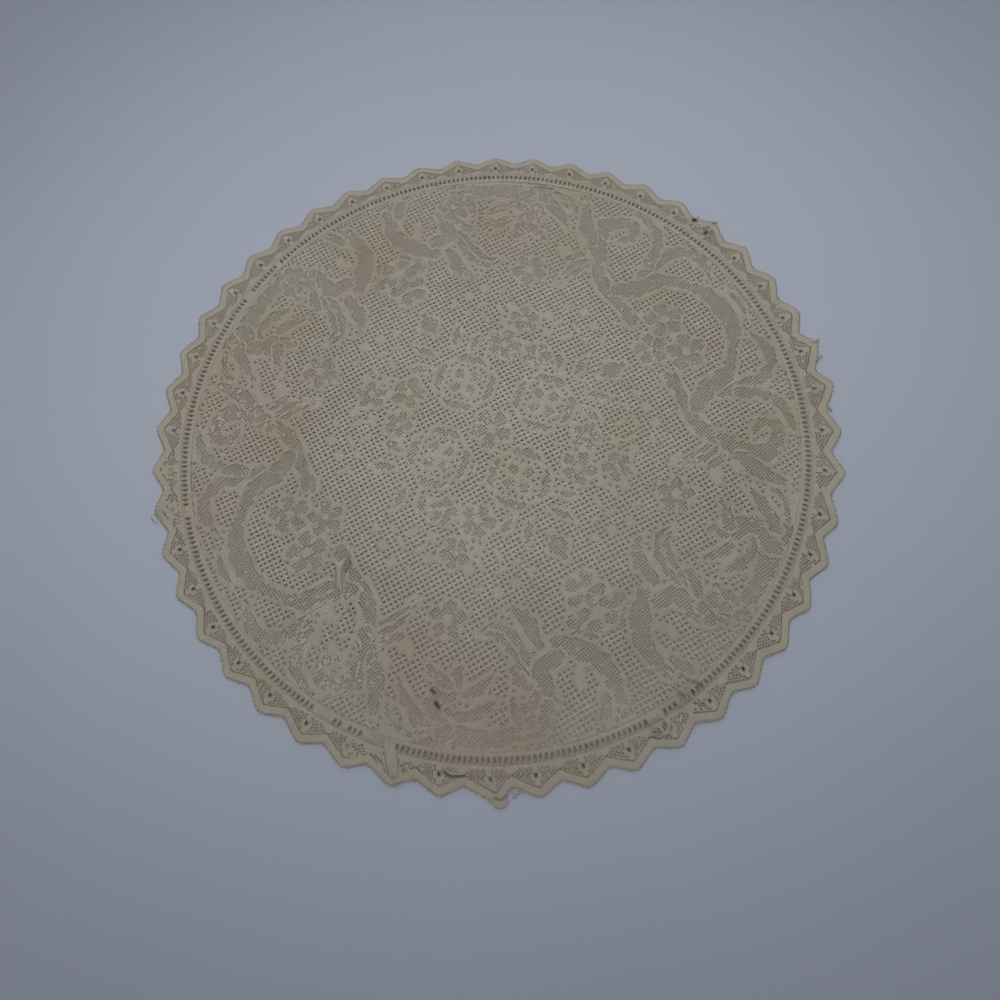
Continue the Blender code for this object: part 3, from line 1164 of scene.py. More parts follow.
@dataclass
class Edging:
    """The pointed strip in millimetres: a ladder of holes, then points of fine net round an eyelet.

    Rows count inwards from the edge. The lines below 0 are the ladder's: its outer side, its inner side,
    the join with the panel, and the line just under the band where the last row ends.
    """

    lay: ClothLay
    ageing_and_shade: AgeingAndShade
    columns: int = 18
    rungs: int = 8
    inner: float = 132.78
    ladder_from: float = 133.72
    ladder_to: float = 137.48
    ladder_hole_half: Pair = (0.335, 0.36)
    ladder_corner_share: float = 0.86
    row: float = 1.20
    band_rows: int = 3
    net_tip: float = 146.6
    net_depth: float = 5.2
    net_from: float = 138.45
    least_mesh: float = 0.40
    overlap: float = 0.03
    eyelet_row: int = 6
    eyelet_half: Pair = (0.30, 0.55)
    eyelet_corner_share: float = 0.7
    # Painted shade that darkens the eyelets, carried with the soil.
    eyelet_shade_radius: float = 0.00075
    eyelet_shade_strength: float = 0.95
    diamond_middle: float = 141.8
    diamond_half: Pair = (2.5, 3.7)
    wedge_apex: float = 141.2
    wedge_slope: float = 1.2
    band_crown: float = 0.92
    crown_spread: float = 0.14
    fine_hole_half: Pair = (0.205, 0.195)
    fine_shut: Pair = (0.02, 0.8)
    pulled_share: float = 0.25
    ladder_share: float = -0.50
    spare: int = 6
    unevenness: Unevenness = Unevenness(0.05, 0.12)
    heights: Heights = Heights()
    filled_ladder: tuple[Arc, ...] = (
        Arc(131.4, 132.8),
        Arc(140.6, 141.8),
        Arc(187.5, 189.2),
        Arc(232.4, 235.9),
        Arc(237.4, 238.8),
        Arc(241.8, 247.0),
        Arc(288.9, 292.2),
        Arc(294.6, 297.4),
    )
    filled_eyelets: tuple[int, ...] = (24, 25, 32, 33, 39)

    def __post_init__(self) -> None:
        """Draw the small differences from mesh to mesh."""
        self.around = self.columns * self.lay.point_count
        self.rows = self.band_rows + math.ceil((self.net_tip - self.ladder_to) / self.row)
        shape = (self.around, self.rows + self.spare)
        self.strays, self.luck, self.slack = self.unevenness.draw(SEED + 1, shape)

    def edge(self, column: float) -> float:
        """Radius of the zigzag edge at a column, in millimetres."""
        return float(self.lay.edge_radius(np.array(column / self.columns))) / MM

    def line(self, column: float, row: float) -> float:
        """Radius of a row line: the band's rows follow the edge, the net's run straight to a sharp tip.

        Args:
            column: column of the place.
            row: row, counted inwards from the edge.

        Returns:
            The radius in millimetres.
        """
        from_tip = abs(column / self.columns - round(column / self.columns)) * 2.0
        net = self.net_tip - self.net_depth * from_tip
        if row <= self.band_rows:
            return self.edge(column) + (net - self.edge(column)) * row / self.band_rows
        return net - (row - self.band_rows) * self.row

    def radius(self, column: float, row: float) -> float:
        """Radius of a row line or of one of the ladder's lines."""
        lines = {BAND_LINE: self.ladder_to, LADDER_LINE: self.ladder_from, JOIN_LINE: self.inner,
                 LAST_LINE: self.ladder_to - self.overlap}
        return lines[row] if row in lines else max(self.line(column, row), self.ladder_to)

    def corner(self, key: Pair) -> Pair:
        """Place of a corner as its column and radius, a little astray inside the strip.

        Args:
            key: column and row, or column and one of the ladder's lines.

        Returns:
            The column and the radius in millimetres.
        """
        column, row = key
        radius = self.radius(column, row)
        if row in (0, JOIN_LINE) or radius <= self.ladder_to:
            return column, radius
        stray = self.strays[int(column) % self.around, int(row)]
        return column + stray[0], radius + stray[1]

    def lay_down(self, flat: np.ndarray) -> np.ndarray:
        """Turn columns and radii into places on the table in metres."""
        return self.lay.on_strip(flat[:, 0] / self.columns, flat[:, 1] * MM)

    def key(self, column: float, row: int) -> tuple[float, int]:
        """Name of a corner: the strip's end meets its start, and no row goes past the ladder's edge.

        Args:
            column: column of the corner.
            row: its row, or one of the ladder's lines.

        Returns:
            The column and row that name it.
        """
        column %= self.around
        if row > 0 and self.line(column, row) <= self.ladder_to + self.least_mesh:
            row = LAST_LINE
        return column, row

    def corners(self, keys: list[tuple[float, int]]) -> list[tuple[float, int]]:
        """Names of a mesh's corners in order, each once."""
        named = [self.key(*key) for key in keys]
        return [key for k, key in enumerate(named) if key != named[k - 1]]

    def width_of_column(self, radius: float) -> float:
        """Width of a column in millimetres at a radius."""
        return 2.0 * math.pi * radius / self.around

    def works_fine(self, column: int, row: int) -> bool:
        """Whether a mesh of a point is fine net: not by its eyelet, nor in the wedge between points.

        Args:
            column: column of the mesh.
            row: row of the mesh.

        Returns:
            Whether it is fine net.
        """
        if row < self.band_rows:
            return False
        radius = self.line(column + 0.5, row + 0.5)
        inner_side = min(self.line(column, row + 1), self.line(column + 1, row + 1))
        if inner_side < self.net_from - self.least_mesh:
            return False
        from_tip = (column + 0.5) / self.columns
        apart = abs(from_tip - round(from_tip)) * self.columns * self.width_of_column(radius)
        half_width, half_height = self.diamond_half
        if apart / half_width + abs(radius - self.diamond_middle) / half_height < 1.0:
            return False
        from_valley = self.columns / 2 * self.width_of_column(radius) - apart
        return from_valley > (self.wedge_apex - radius) * self.wedge_slope

    def flat_area(self) -> float:
        """Area of the strip in square metres inside its zigzag edge."""
        edge = self.lay.edge_radius(np.arange(self.around) / self.columns)
        return float(math.pi * (edge**2 - (self.inner * MM) ** 2).mean())

    def build(self) -> Piece:
        """Knot the whole strip.

        Returns:
            The strip as one piece.
        """
        sheet = LaceSheet("pointed_edging", self.corner, self.heights.under, self.around)
        for rung in range(self.rungs * self.lay.point_count):
            self.knot_ladder(sheet, rung)
        for column in range(self.around):
            for row in reversed(range(self.rows)):
                self.knot_point(sheet, column, row)
        return sheet.finish(self.lay_down, self.lay.lift)

    def knot_ladder(self, sheet: LaceSheet, rung: int) -> None:
        """The ladder between two rungs and the band inside it, or thread where it has been mended.

        Args:
            sheet: sheet to knot it into.
            rung: number of the first of the two rungs.
        """
        across = self.columns / self.rungs
        left, middle_column, right = (rung * across + share * across for share in (0.0, 0.5, 1.0))
        for start, end in ((left, middle_column), (middle_column, right)):
            border = self.corners([(start, JOIN_LINE), (end, JOIN_LINE),
                                   (end, LADDER_LINE), (start, LADDER_LINE)])
            sheet.filled_mesh(border, self.heights.cloth, self.heights.cloth_crown)
        border = self.corners([(left, LADDER_LINE), (middle_column, LADDER_LINE), (right, LADDER_LINE),
                               (right, BAND_LINE), (middle_column, BAND_LINE), (left, BAND_LINE)])
        heading = self.lay.first_tip_deg + middle_column * 360.0 / self.around
        if any(arc.holds(heading) for arc in self.filled_ladder):
            sheet.filled_mesh(border, self.heights.cloth, self.heights.cloth_crown)
            return
        middle = (self.ladder_from + self.ladder_to) / 2
        slack = self.slack[rung, 0] * self.lay.stretch(heading, self.ladder_share)
        half_width = self.ladder_hole_half[0] * slack / self.width_of_column(middle)
        half_height = self.ladder_hole_half[1] * (0.5 + 0.5 * slack)
        ring = ring_round((middle_column + self.strays[rung, 0, 0], middle), half_width, half_height,
                          self.ladder_corner_share)
        ring = [ring[k] for k in (0, 1, 2, 4, 5, 6)]
        sheet.open_mesh(border, [self.heights.cloth] * 6, ring, self.heights.hole)

    def knot_point(self, sheet: LaceSheet, column: int, row: int) -> None:
        """One mesh of a point: solid, fine net or part of an eyelet.

        Args:
            sheet: sheet to knot it into.
            column: column of the mesh.
            row: row of the mesh.
        """
        border = self.corners([(column, row + 1), (column + 1, row + 1),
                               (column + 1, row), (column, row)])
        if len(border) < 3 or all(key[1] == LAST_LINE for key in border):
            return
        by_tip = (column + 1) % self.columns
        if by_tip in (0, 1) and row in (self.eyelet_row, self.eyelet_row + 1):
            if by_tip == 0 and row == self.eyelet_row:
                self.knot_eyelet(sheet, column + 1)
            return
        middle = self.lay_down(np.array([[column + 0.5, self.radius(column + 0.5, row + 0.5)]]))
        closed_up = float(self.ageing_and_shade.matting(middle[:, 0], middle[:, 1])[0])
        shut, shut_by_matting = self.fine_shut
        worn_shut = self.luck[column, row] < shut + closed_up * shut_by_matting
        if len(border) == 4 and self.works_fine(column, row) and not worn_shut:
            self.knot_fine(sheet, column, row, border)
        else:
            crown = self.band_crown + self.crown_spread * (self.luck[column, row] - 0.5)
            sheet.filled_mesh(border, self.heights.cloth, crown)

    def knot_fine(self, sheet: LaceSheet, column: int, row: int, border: list) -> None:
        """One mesh of the fine net in a point.

        Args:
            sheet: sheet to knot it into.
            column: column of the mesh.
            row: row of the mesh.
            border: keys round the mesh.
        """
        middle = sheet.outline(border).mean(0)
        heading = self.lay.first_tip_deg + column * 360.0 / self.around
        slack = self.slack[column, row] * self.lay.stretch(heading, self.pulled_share)
        half_width = self.fine_hole_half[0] * slack / self.width_of_column(middle[1])
        half_height = self.fine_hole_half[1] * slack
        ring = [middle + (x * half_width, y * half_height) for x, y in ((-1, -1), (1, -1), (1, 1), (-1, 1))]
        sheet.open_mesh(border, [self.heights.fine] * 4, ring, self.heights.fine_hole)

    def eyelet_painted_shade(self) -> tuple[Patch, ...]:
        """Painted shade that darkens each eyelet, carried with the soil.

        Returns:
            A patch for each eyelet.
        """
        tips = np.arange(self.lay.point_count) * self.columns
        radii = [self.radius(tip, self.eyelet_row + 1) for tip in tips]
        places = self.lay_down(np.stack([tips, radii], 1))
        return tuple(Patch(x, y, self.eyelet_shade_radius, self.eyelet_shade_strength) for x, y in places)

    def knot_eyelet(self, sheet: LaceSheet, tip: int) -> None:
        """The eyelet below a tip, four meshes in one, or thread where it has closed.

        Args:
            sheet: sheet to knot it into.
            tip: column of the tip.
        """
        low, high = self.eyelet_row + 2, self.eyelet_row
        turn = ((-1, low), (0, low), (1, low), (1, low - 1),
                (1, high), (0, high), (-1, high), (-1, low - 1))
        border = [self.key(tip + x, row) for x, row in turn]
        if (tip // self.columns) % self.lay.point_count in self.filled_eyelets:
            sheet.filled_mesh(border, self.heights.cloth, self.heights.cloth_crown)
            return
        middle = self.radius(tip, self.eyelet_row + 1)
        slack = self.slack[tip % self.around, 1]
        half_width = self.eyelet_half[0] * slack / self.width_of_column(middle)
        off = tip % self.around + self.strays[tip % self.around, 1, 0] * 0.5
        ring = ring_round((off, middle), half_width, self.eyelet_half[1] * slack, self.eyelet_corner_share)
        sheet.open_mesh(border, [self.heights.cloth] * 8, ring, self.heights.fine)


# ------------------------------------------------------------------ small pieces modelled once and repeated


LOOP_CUT = -0.30
LOOP_DRAWN_OUT = 1.25
CUT_TOLERANCE = 0.000001
STITCH_FLATNESS = 0.8
STITCH_DIP = 0.9
SPINDLE_END = 0.25
SPINDLE_POWER = 0.7
STRAND_END = 0.35
SPECK_SHAPE = (1.0, 0.8, 0.45)
SPECK_ROUGHNESS = 0.09


def start_modelling() -> None:
    """Leave nothing selected, so that an operator acts on the new piece alone."""
    bpy.ops.object.select_all(action="DESELECT")


def start_editing() -> Piece:
    """Take up the whole mesh of the new piece, and give the piece."""
    bpy.ops.object.mode_set(mode="EDIT")
    bpy.ops.mesh.select_all(action="SELECT")
    return bpy.context.object


def stop_editing() -> None:
    """Put the mesh down and shade it smooth."""
    bpy.ops.object.mode_set(mode="OBJECT")
    bpy.ops.object.shade_smooth()


def model_loop(major: float, minor: float) -> Piece:
    """Model one loop of thread lying flat: a ring opened at its foot and drawn out a little.

    Args:
        major: radius of the loop.
        minor: radius of its thread.

    Returns:
        The loop.
    """
    start_modelling()
    bpy.ops.mesh.primitive_torus_add(major_radius=major, minor_radius=minor,
                                     major_segments=10, minor_segments=5)
    loop = start_editing()
    bpy.ops.mesh.bisect(plane_co=(LOOP_CUT * major, 0.0, 0.0), plane_no=(1.0, 0.0, 0.0), clear_inner=True,
                        use_fill=True, threshold=CUT_TOLERANCE)
    bpy.ops.mesh.select_all(action="SELECT")
    bpy.ops.transform.resize(value=(LOOP_DRAWN_OUT, 1.0, 1.0))
    bpy.ops.mesh.normals_make_consistent(inside=False)
    stop_editing()
    return loop


def model_stitch(length: float, radius: float) -> Piece:
    """Model one overcast stitch: a rounded strand whose two ends dip into the cloth.

    Args:
        length: length of the stitch.
        radius: radius of its thread.

    Returns:
        The stitch.
    """
    start_modelling()
    bpy.ops.mesh.primitive_uv_sphere_add(segments=6, ring_count=7, radius=radius,
                                         rotation=(0.0, math.pi / 2, 0.0))
    bpy.ops.object.transform_apply(location=True, rotation=True, scale=True)
    stitch = start_editing()
    bpy.ops.transform.resize(value=(0.5 * length / radius, 1.0, STITCH_FLATNESS))
    stop_editing()
    for vertex in stitch.data.vertices:
        vertex.co.z -= STITCH_DIP * radius * (2.0 * vertex.co.x / length) ** 2
    return stitch


def repeat(pattern: Piece, name: str, placings: list[Matrix]) -> Piece:
    """Copy a modelled shape to each placing and join the copies.

    Args:
        pattern: the shape modelled once about the origin; it is removed.
        name: name of the joined piece.
        placings: where each copy goes.

    Returns:
        One piece with all the copies in its mesh.
    """
    corners = np.array([vertex.co[:] for vertex in pattern.data.vertices])
    loops = [list(face.vertices) for face in pattern.data.polygons]
    corners = np.column_stack([corners, np.ones(len(corners))])
    points = np.vstack([corners @ np.array(placing).T[:, :3] for placing in placings])
    faces = [[number + copy * len(corners) for number in loop]
             for copy in range(len(placings)) for loop in loops]
    bpy.data.objects.remove(pattern)
    return new_piece(name, points.tolist(), faces)


def strand(name: str, paths: list[np.ndarray], radii: list[float], sides: int = 6,
           closed: bool = False, spindle: bool = False) -> Piece:
    """Sweep round strands of thread along paths.

    Args:
        name: name of the piece.
        paths: one row of x, y and z for each point of a strand.
        radii: thickness of each strand.
        sides: sides of a strand.
        closed: whether each path ends where it starts.
        spindle: whether a strand thins to both its ends, and not to its last end alone.

    Returns:
        One piece with every strand in it, with closed ends.
    """
    points: list = []
    faces: list = []
    for path, radius in zip(paths, radii):
        count = len(path)
        ahead = np.roll(path, -1, 0) - np.roll(path, 1, 0)
        if not closed:
            ahead[0] = path[1] - path[0]
            ahead[-1] = path[-1] - path[-2]
        ahead /= np.linalg.norm(ahead, axis=1, keepdims=True)
        side = np.cross(ahead, (0.0, 0.0, 1.0))
        side /= np.linalg.norm(side, axis=1, keepdims=True) + 1e-12
        up = np.cross(side, ahead)
        start = len(points)
        thickness = np.full(count, radius)
        if spindle:
            swell = np.sin(math.pi * (np.arange(count) + 0.5) / count) ** SPINDLE_POWER
            thickness *= SPINDLE_END + (1.0 - SPINDLE_END) * swell
        elif not closed:
            thickness[-1] *= STRAND_END
        for k in range(sides):
            turn = 2.0 * math.pi * k / sides
            ring = path + (side * math.cos(turn) + up * math.sin(turn)) * thickness[:, None]
            points += ring.tolist()
        for k in range(sides):
            here, beside = start + k * count, start + (k + 1) % sides * count
            for step in range(count if closed else count - 1):
                after = (step + 1) % count
                faces.append([here + step, here + after, beside + after, beside + step])
        if not closed:
            faces.append([start + k * count for k in range(sides)])
            faces.append([start + k * count + count - 1 for k in reversed(range(sides))])
    return new_piece(name, points, faces)


@dataclass
class Trim:
    """What finishes the edge and the join, in metres: the cord, its picots and the overcast seam."""

    lay: ClothLay
    cord_radius: float = 0.00036
    cord_inside: float = 0.6
    cord_height: float = 0.00060
    cord_steps: int = 20
    picots_per_side: int = 6
    picot_size: float = 0.00047
    picot_thread: float = 0.00026
    picot_outside: float = 0.00020
    picot_sway: float = 0.12
    picot_spread: Pair = (0.10, 0.08)
    stitch_length: float = 0.0019
    stitch_radius: float = 0.00021
    stitch_height: float = 0.00088
    stitch_slant: float = 0.35
    stitch_sway: float = 0.08
    stitches: int = 400

    def on_cloth(self, flat: np.ndarray, height: float) -> np.ndarray:
        """Places at a height over the cloth's underside."""
        return np.column_stack([flat, self.lay.lift(flat[:, 0], flat[:, 1]) + height])

    def edge_places(self, places: np.ndarray, outside: float) -> np.ndarray:
        """Places along the zigzag edge, a distance outside it."""
        flat = self.lay.on_strip(places, self.lay.edge_radius(places) + outside)
        return self.on_cloth(flat, self.cord_height)

    def build_cord(self) -> Piece:
        """The thread laid along the zigzag edge."""
        places = np.arange(self.lay.point_count * self.cord_steps) / self.cord_steps
        path = self.edge_places(places, -self.cord_inside * self.cord_radius)
        return strand("edge_cord", [path], [self.cord_radius], closed=True)

    def build_picots(self) -> Piece:
        """Tiny loops all along the edge, each turned to face away from it.

        Returns:
            The loops as one piece.
        """
        random = np.random.default_rng(SEED + 2)
        count = self.lay.point_count * 2 * self.picots_per_side
        places = (np.arange(count) + 0.5) / (2 * self.picots_per_side)
        middles = self.edge_places(places, self.picot_outside)
        ahead = self.edge_places(places + 0.01, 0.0) - self.edge_places(places - 0.01, 0.0)
        placings = []
        for middle, along in zip(middles, ahead):
            facing = math.atan2(-along[0], along[1]) + random.normal(0.0, self.picot_sway)
            long, wide = (random.normal(1.0, spread) for spread in self.picot_spread)
            placings.append(Matrix.Translation(Vector(middle)) @ Matrix.Rotation(facing, 4, "Z")
                            @ Matrix.Diagonal((long, wide, 1.0, 1.0)))
        return repeat(model_loop(self.picot_size, self.picot_thread), "picots", placings)

    def build_seam(self) -> Piece:
        """Overcast stitches over the join of the panel and the edging.

        Returns:
            The stitches as one piece.
        """
        random = np.random.default_rng(SEED + 3)
        headings = np.arange(self.stitches) * 2.0 * math.pi / self.stitches
        flat = self.lay.seam_radius * np.stack([np.cos(headings), np.sin(headings)], 1)
        placings = []
        for middle, heading in zip(self.on_cloth(flat, self.stitch_height), headings):
            slant = heading + self.stitch_slant + random.normal(0.0, self.stitch_sway)
            placings.append(Matrix.Translation(Vector(middle)) @ Matrix.Rotation(slant, 4, "Z"))
        return repeat(model_stitch(self.stitch_length, self.stitch_radius), "seam_stitches", placings)


def model_speck(radius: float) -> Piece:
    """Model one crumb of dried dirt: a flattened, uneven ball.

    Args:
        radius: radius of the crumb.

    Returns:
        The crumb.
    """
    start_modelling()
    bpy.ops.mesh.primitive_ico_sphere_add(subdivisions=2, radius=radius)
    speck = start_editing()
    bpy.ops.transform.resize(value=SPECK_SHAPE)
    bpy.ops.transform.vertex_random(offset=SPECK_ROUGHNESS * radius, seed=SEED)
    stop_editing()
    return speck


@dataclass(frozen=True)
class LooseThread:
    """A thread that has come away, in millimetres: places on the table and their height over the cloth."""

    line: tuple[tuple[float, float, float], ...]
    radius: float = 0.16


@dataclass(frozen=True)
class PinchedFold:
    """A crease where the cloth is pinched up into a narrow roll, in millimetres."""

    line: Line
    half_width: float


@dataclass
class WornEnds:
    """Where the doily is pinched into folds, and where its edging is lapped over itself or has frayed."""

    lay: ClothLay
    fold_height: float = 0.0009
    speck_height: float = 0.00092
    speck_turn: float = 1.1
    panel_specks: tuple[tuple[float, float, float], ...] = (
        (-36.6, -105.9, 0.46),
        (-35.8, -106.8, 0.34),
        (-35.5, -110.9, 0.44),
        (-35.0, -111.9, 0.56),
        (-34.4, -112.9, 0.34),
    )
    strip_specks: tuple[tuple[float, float, float], ...] = (
        (109.2, 93.9, 1.00),
        (110.1, 93.2, 0.40),
        (118.3, 91.1, 0.50),
        (113.6, 87.2, 0.40),
        (112.7, 88.2, 0.28),
        (114.3, 86.3, 0.32),
    )
    panel_folds: tuple[PinchedFold, ...] = (
        PinchedFold(((-67.2, -48.6), (-69.0, -52.0), (-70.0, -57.0), (-69.3, -62.6)), 1.15),
        PinchedFold(((-69.2, -62.6), (-68.2, -66.4), (-66.6, -69.6), (-64.9, -72.4)), 0.42),
        PinchedFold(((-71.4, -53.0), (-72.0, -57.6), (-71.2, -62.0)), 0.40),
        PinchedFold(((62.6, -117.6), (60.2, -119.4), (57.2, -116.6)), 0.50),
        PinchedFold(((60.2, -119.6), (59.0, -122.6), (58.6, -124.6)), 0.45),
        PinchedFold(((-62.0, -118.8), (-59.0, -120.4), (-56.4, -123.0)), 0.55),
        PinchedFold(((-79.0, -80.0), (-77.0, -84.0), (-77.6, -88.4)), 0.40),
    )
    strip_folds: tuple[PinchedFold, ...] = (
        PinchedFold(((-35.2, -134.8), (-33.6, -136.6), (-31.0, -137.8), (-27.2, -138.0)), 0.50),
        PinchedFold(((45.4, -129.0), (45.6, -132.2), (48.0, -134.0), (51.2, -132.6), (52.0, -129.8),
                     (50.2, -127.2), (47.0, -127.0)), 0.55),
        PinchedFold(((60.8, -119.8), (63.6, -121.6), (65.4, -124.4)), 0.50),
        PinchedFold(((-57.8, -126.0), (-57.4, -130.4), (-56.0, -134.6)), 0.45),
        PinchedFold(((-23.0, -139.4), (-20.0, -142.6), (-16.4, -145.6)), 0.40),
    )
    lap_middle: Pair = (-0.0543, -0.1290)
    lap_heading_deg: float = -85.0
    lap_size: tuple[float, float, float] = (0.0150, 0.0046, 0.0005)
    lap_height: float = 0.00105
    lap_rounding: float = 0.55
    lap_narrowing: float = 0.22
    lap_roughness: float = 0.00008
    lobe_middle: Pair = (-0.0149, -0.1494)
    lobe_size: tuple[float, float, float] = (0.0031, 0.0024, 0.0007)
    lobe_lift: float = 1.05
    lobe_roughness: float = 0.00012
    threads: tuple[LooseThread, ...] = (
        LooseThread(((147.0, 21.6, 0.9), (148.8, 22.4, 1.0), (150.4, 23.2, 0.8), (151.2, 23.8, 0.5)), 0.30),
        LooseThread(((148.2, 21.0, 0.8), (149.9, 21.9, 0.9), (151.0, 22.4, 0.6)), 0.20),
        LooseThread(((146.4, 13.0, 0.8), (148.0, 13.8, 0.9), (149.2, 14.6, 0.9), (149.9, 15.6, 0.5)), 0.34),
        LooseThread(((147.2, 12.2, 0.6), (149.2, 14.0, 1.0), (150.8, 15.2, 0.7)), 0.18),
        LooseThread(((145.2, -8.2, 0.5), (146.0, -9.4, 0.9), (146.9, -10.5, 0.9),
                     (147.6, -11.8, 0.5)), 0.34),
        LooseThread(((144.2, -7.0, 0.7), (145.6, -8.6, 0.9), (145.2, -10.4, 0.8), (144.2, -11.2, 0.5))),
        LooseThread(((-12.4, -148.0, 0.7), (-11.6, -145.6, 1.0), (-9.4, -144.6, 1.0), (-7.6, -146.0, 0.8),
                     (-8.6, -148.2, 0.5), (-10.4, -148.6, 0.4)), 0.24),
        LooseThread(((-10.6, -146.8, 0.5), (-8.4, -147.6, 0.7), (-6.6, -146.8, 0.6),
                     (-5.2, -147.4, 0.5)), 0.20),
        LooseThread(((-47.0, -136.0, 0.9), (-45.8, -137.4, 1.0), (-44.6, -137.2, 0.8),
                     (-43.4, -138.8, 0.5)), 0.20),
        LooseThread(((-48.6, -136.6, 0.9), (-47.4, -137.8, 0.8), (-46.2, -138.9, 0.5)), 0.20),
        LooseThread(((-43.2, -135.4, 0.9), (-41.6, -135.2, 1.2), (-40.2, -136.2, 0.9))),
        LooseThread(((109.6, 95.0, 0.7), (111.4, 95.6, 0.9), (112.6, 96.6, 0.5)), 0.22),
        LooseThread(((118.0, 90.2, 0.8), (119.4, 91.6, 0.9), (120.6, 91.8, 0.5)), 0.22),
        LooseThread(((-147.8, -22.0, 0.8), (-149.2, -20.8, 0.9), (-150.0, -19.0, 0.5)), 0.20),
        LooseThread(((57.4, -117.6, 1.0), (59.4, -119.8, 1.6), (62.0, -120.6, 1.5),
                     (63.6, -122.4, 1.0)), 0.20),
        LooseThread(((58.2, -121.6, 1.0), (60.4, -120.4, 1.6), (61.2, -118.4, 1.5),
                     (63.8, -117.4, 1.0)), 0.20),
        LooseThread(((-57.6, -120.4, 1.0), (-55.4, -121.2, 1.5), (-54.6, -123.4, 1.5),
                     (-56.0, -125.6, 1.0)), 0.20),
    )

    def build_folds(self, name: str, folds: tuple[PinchedFold, ...]) -> Piece:
        """The pinched folds, each a flat roll of cloth that thins to both its ends.

        Args:
            name: name of the piece.
            folds: the folds in it.

        Returns:
            The folds as one piece.
        """
        paths = []
        for fold in folds:
            flat = smooth_path([(x * MM, y * MM) for x, y in fold.line], 6)
            paths.append(np.column_stack([flat, self.lay.lift(flat[:, 0], flat[:, 1]) + self.fold_height]))
        return strand(name, paths, [fold.half_width * MM for fold in folds], sides=8, spindle=True)

    def build_specks(self, name: str, specks: tuple[tuple[float, float, float], ...]) -> Piece:
        """Crumbs of dirt caught in the threads, each given by its place and radius in millimetres.

        Args:
            name: name of the piece.
            specks: x, y and radius of each crumb.

        Returns:
            The crumbs as one piece.
        """
        placings = []
        for number, (x, y, radius) in enumerate(specks):
            lift = float(self.lay.lift(np.array(x * MM), np.array(y * MM)))
            placings.append(Matrix.Translation((x * MM, y * MM, lift + self.speck_height))
                            @ Matrix.Rotation(self.speck_turn * number, 4, "Z") @ Matrix.Scale(radius, 4))
        return repeat(model_speck(MM), name, placings)

    def build_threads(self) -> Piece:
        """The loose threads, each a strand that thins to its end.

        Returns:
            The threads as one piece.
        """
        paths = []
        for thread in self.threads:
            line = np.array(thread.line) * MM
            flat = smooth_path([tuple(place) for place in line[:, :2]], 5)
            over = np.interp(np.linspace(0.0, 1.0, len(flat)), np.linspace(0.0, 1.0, len(line)), line[:, 2])
            paths.append(np.column_stack([flat, self.lay.lift(flat[:, 0], flat[:, 1]) + over]))
        return strand("loose_threads", paths, [thread.radius * MM for thread in self.threads])

    def build_lobe(self) -> Piece:
        """The matted lobe that hangs from a frayed point.

        Returns:
            The lobe.
        """
        start_modelling()
        bpy.ops.mesh.primitive_uv_sphere_add(segments=24, ring_count=12, radius=1.0)
        lobe = start_editing()
        lobe.name = lobe.data.name = "frayed_lobe"
        bpy.ops.transform.resize(value=self.lobe_size)
        bpy.ops.transform.vertex_random(offset=self.lobe_roughness, seed=SEED)
        stop_editing()
        for vertex in lobe.data.vertices:
            vertex.co.x += self.lobe_middle[0]
            vertex.co.y += self.lobe_middle[1]
            vertex.co.z += self.lobe_size[2] * self.lobe_lift
        return lobe

    def build_lap(self) -> Piece:
        """The end of the edging, turned under and lapped over its start.

        Returns:
            The lapped end.
        """
        start_modelling()
        bpy.ops.mesh.primitive_cube_add(size=1.0)
        lap = start_editing()
        lap.name = lap.data.name = "lapped_end"
        bpy.ops.transform.resize(value=self.lap_size)
        bpy.ops.mesh.subdivide(number_cuts=7)
        bpy.ops.transform.vertex_random(offset=self.lap_roughness, seed=SEED)
        stop_editing()
        turn = Matrix.Rotation(math.radians(self.lap_heading_deg), 3, "Z")
        long, wide, thick = self.lap_size
        for vertex in lap.data.vertices:
            from_side = abs(2.0 * vertex.co.y / wide)
            from_end = abs(2.0 * vertex.co.x / long)
            sink = thick * (from_side**4 + from_end**6) * self.lap_rounding
            narrowed = vertex.co.y * (1.0 - self.lap_narrowing * from_end**2)
            place = turn @ Vector((vertex.co.x, narrowed, 0.0))
            x, y = place.x + self.lap_middle[0], place.y + self.lap_middle[1]
            lift = float(self.lay.lift(np.array(x), np.array(y)))
            vertex.co = (x, y, lift + self.lap_height + vertex.co.z - sink)
        return lap


# ------------------------------------------------------------------ finishes


def srgb(red: int, green: int, blue: int) -> Colour:
    """Linear colour of an sRGB colour given from 0 to 255."""
    shares = (red / 255, green / 255, blue / 255)
    return tuple(s / 12.92 if s <= 0.04045 else ((s + 0.055) / 1.055) ** 2.4 for s in shares)


DULLED_TINT = (0.905, 0.905, 0.885, 1.0)
PINK_TINT = (0.98, 0.82, 0.80, 1.0)
GREEN_TINT = (0.93, 0.975, 0.92, 1.0)
# Dark colour of the soil, and of the painted shade beside folds and in eyelets.
SOIL_AND_SHADE_COLOUR = (0.052, 0.036, 0.022, 1.0)


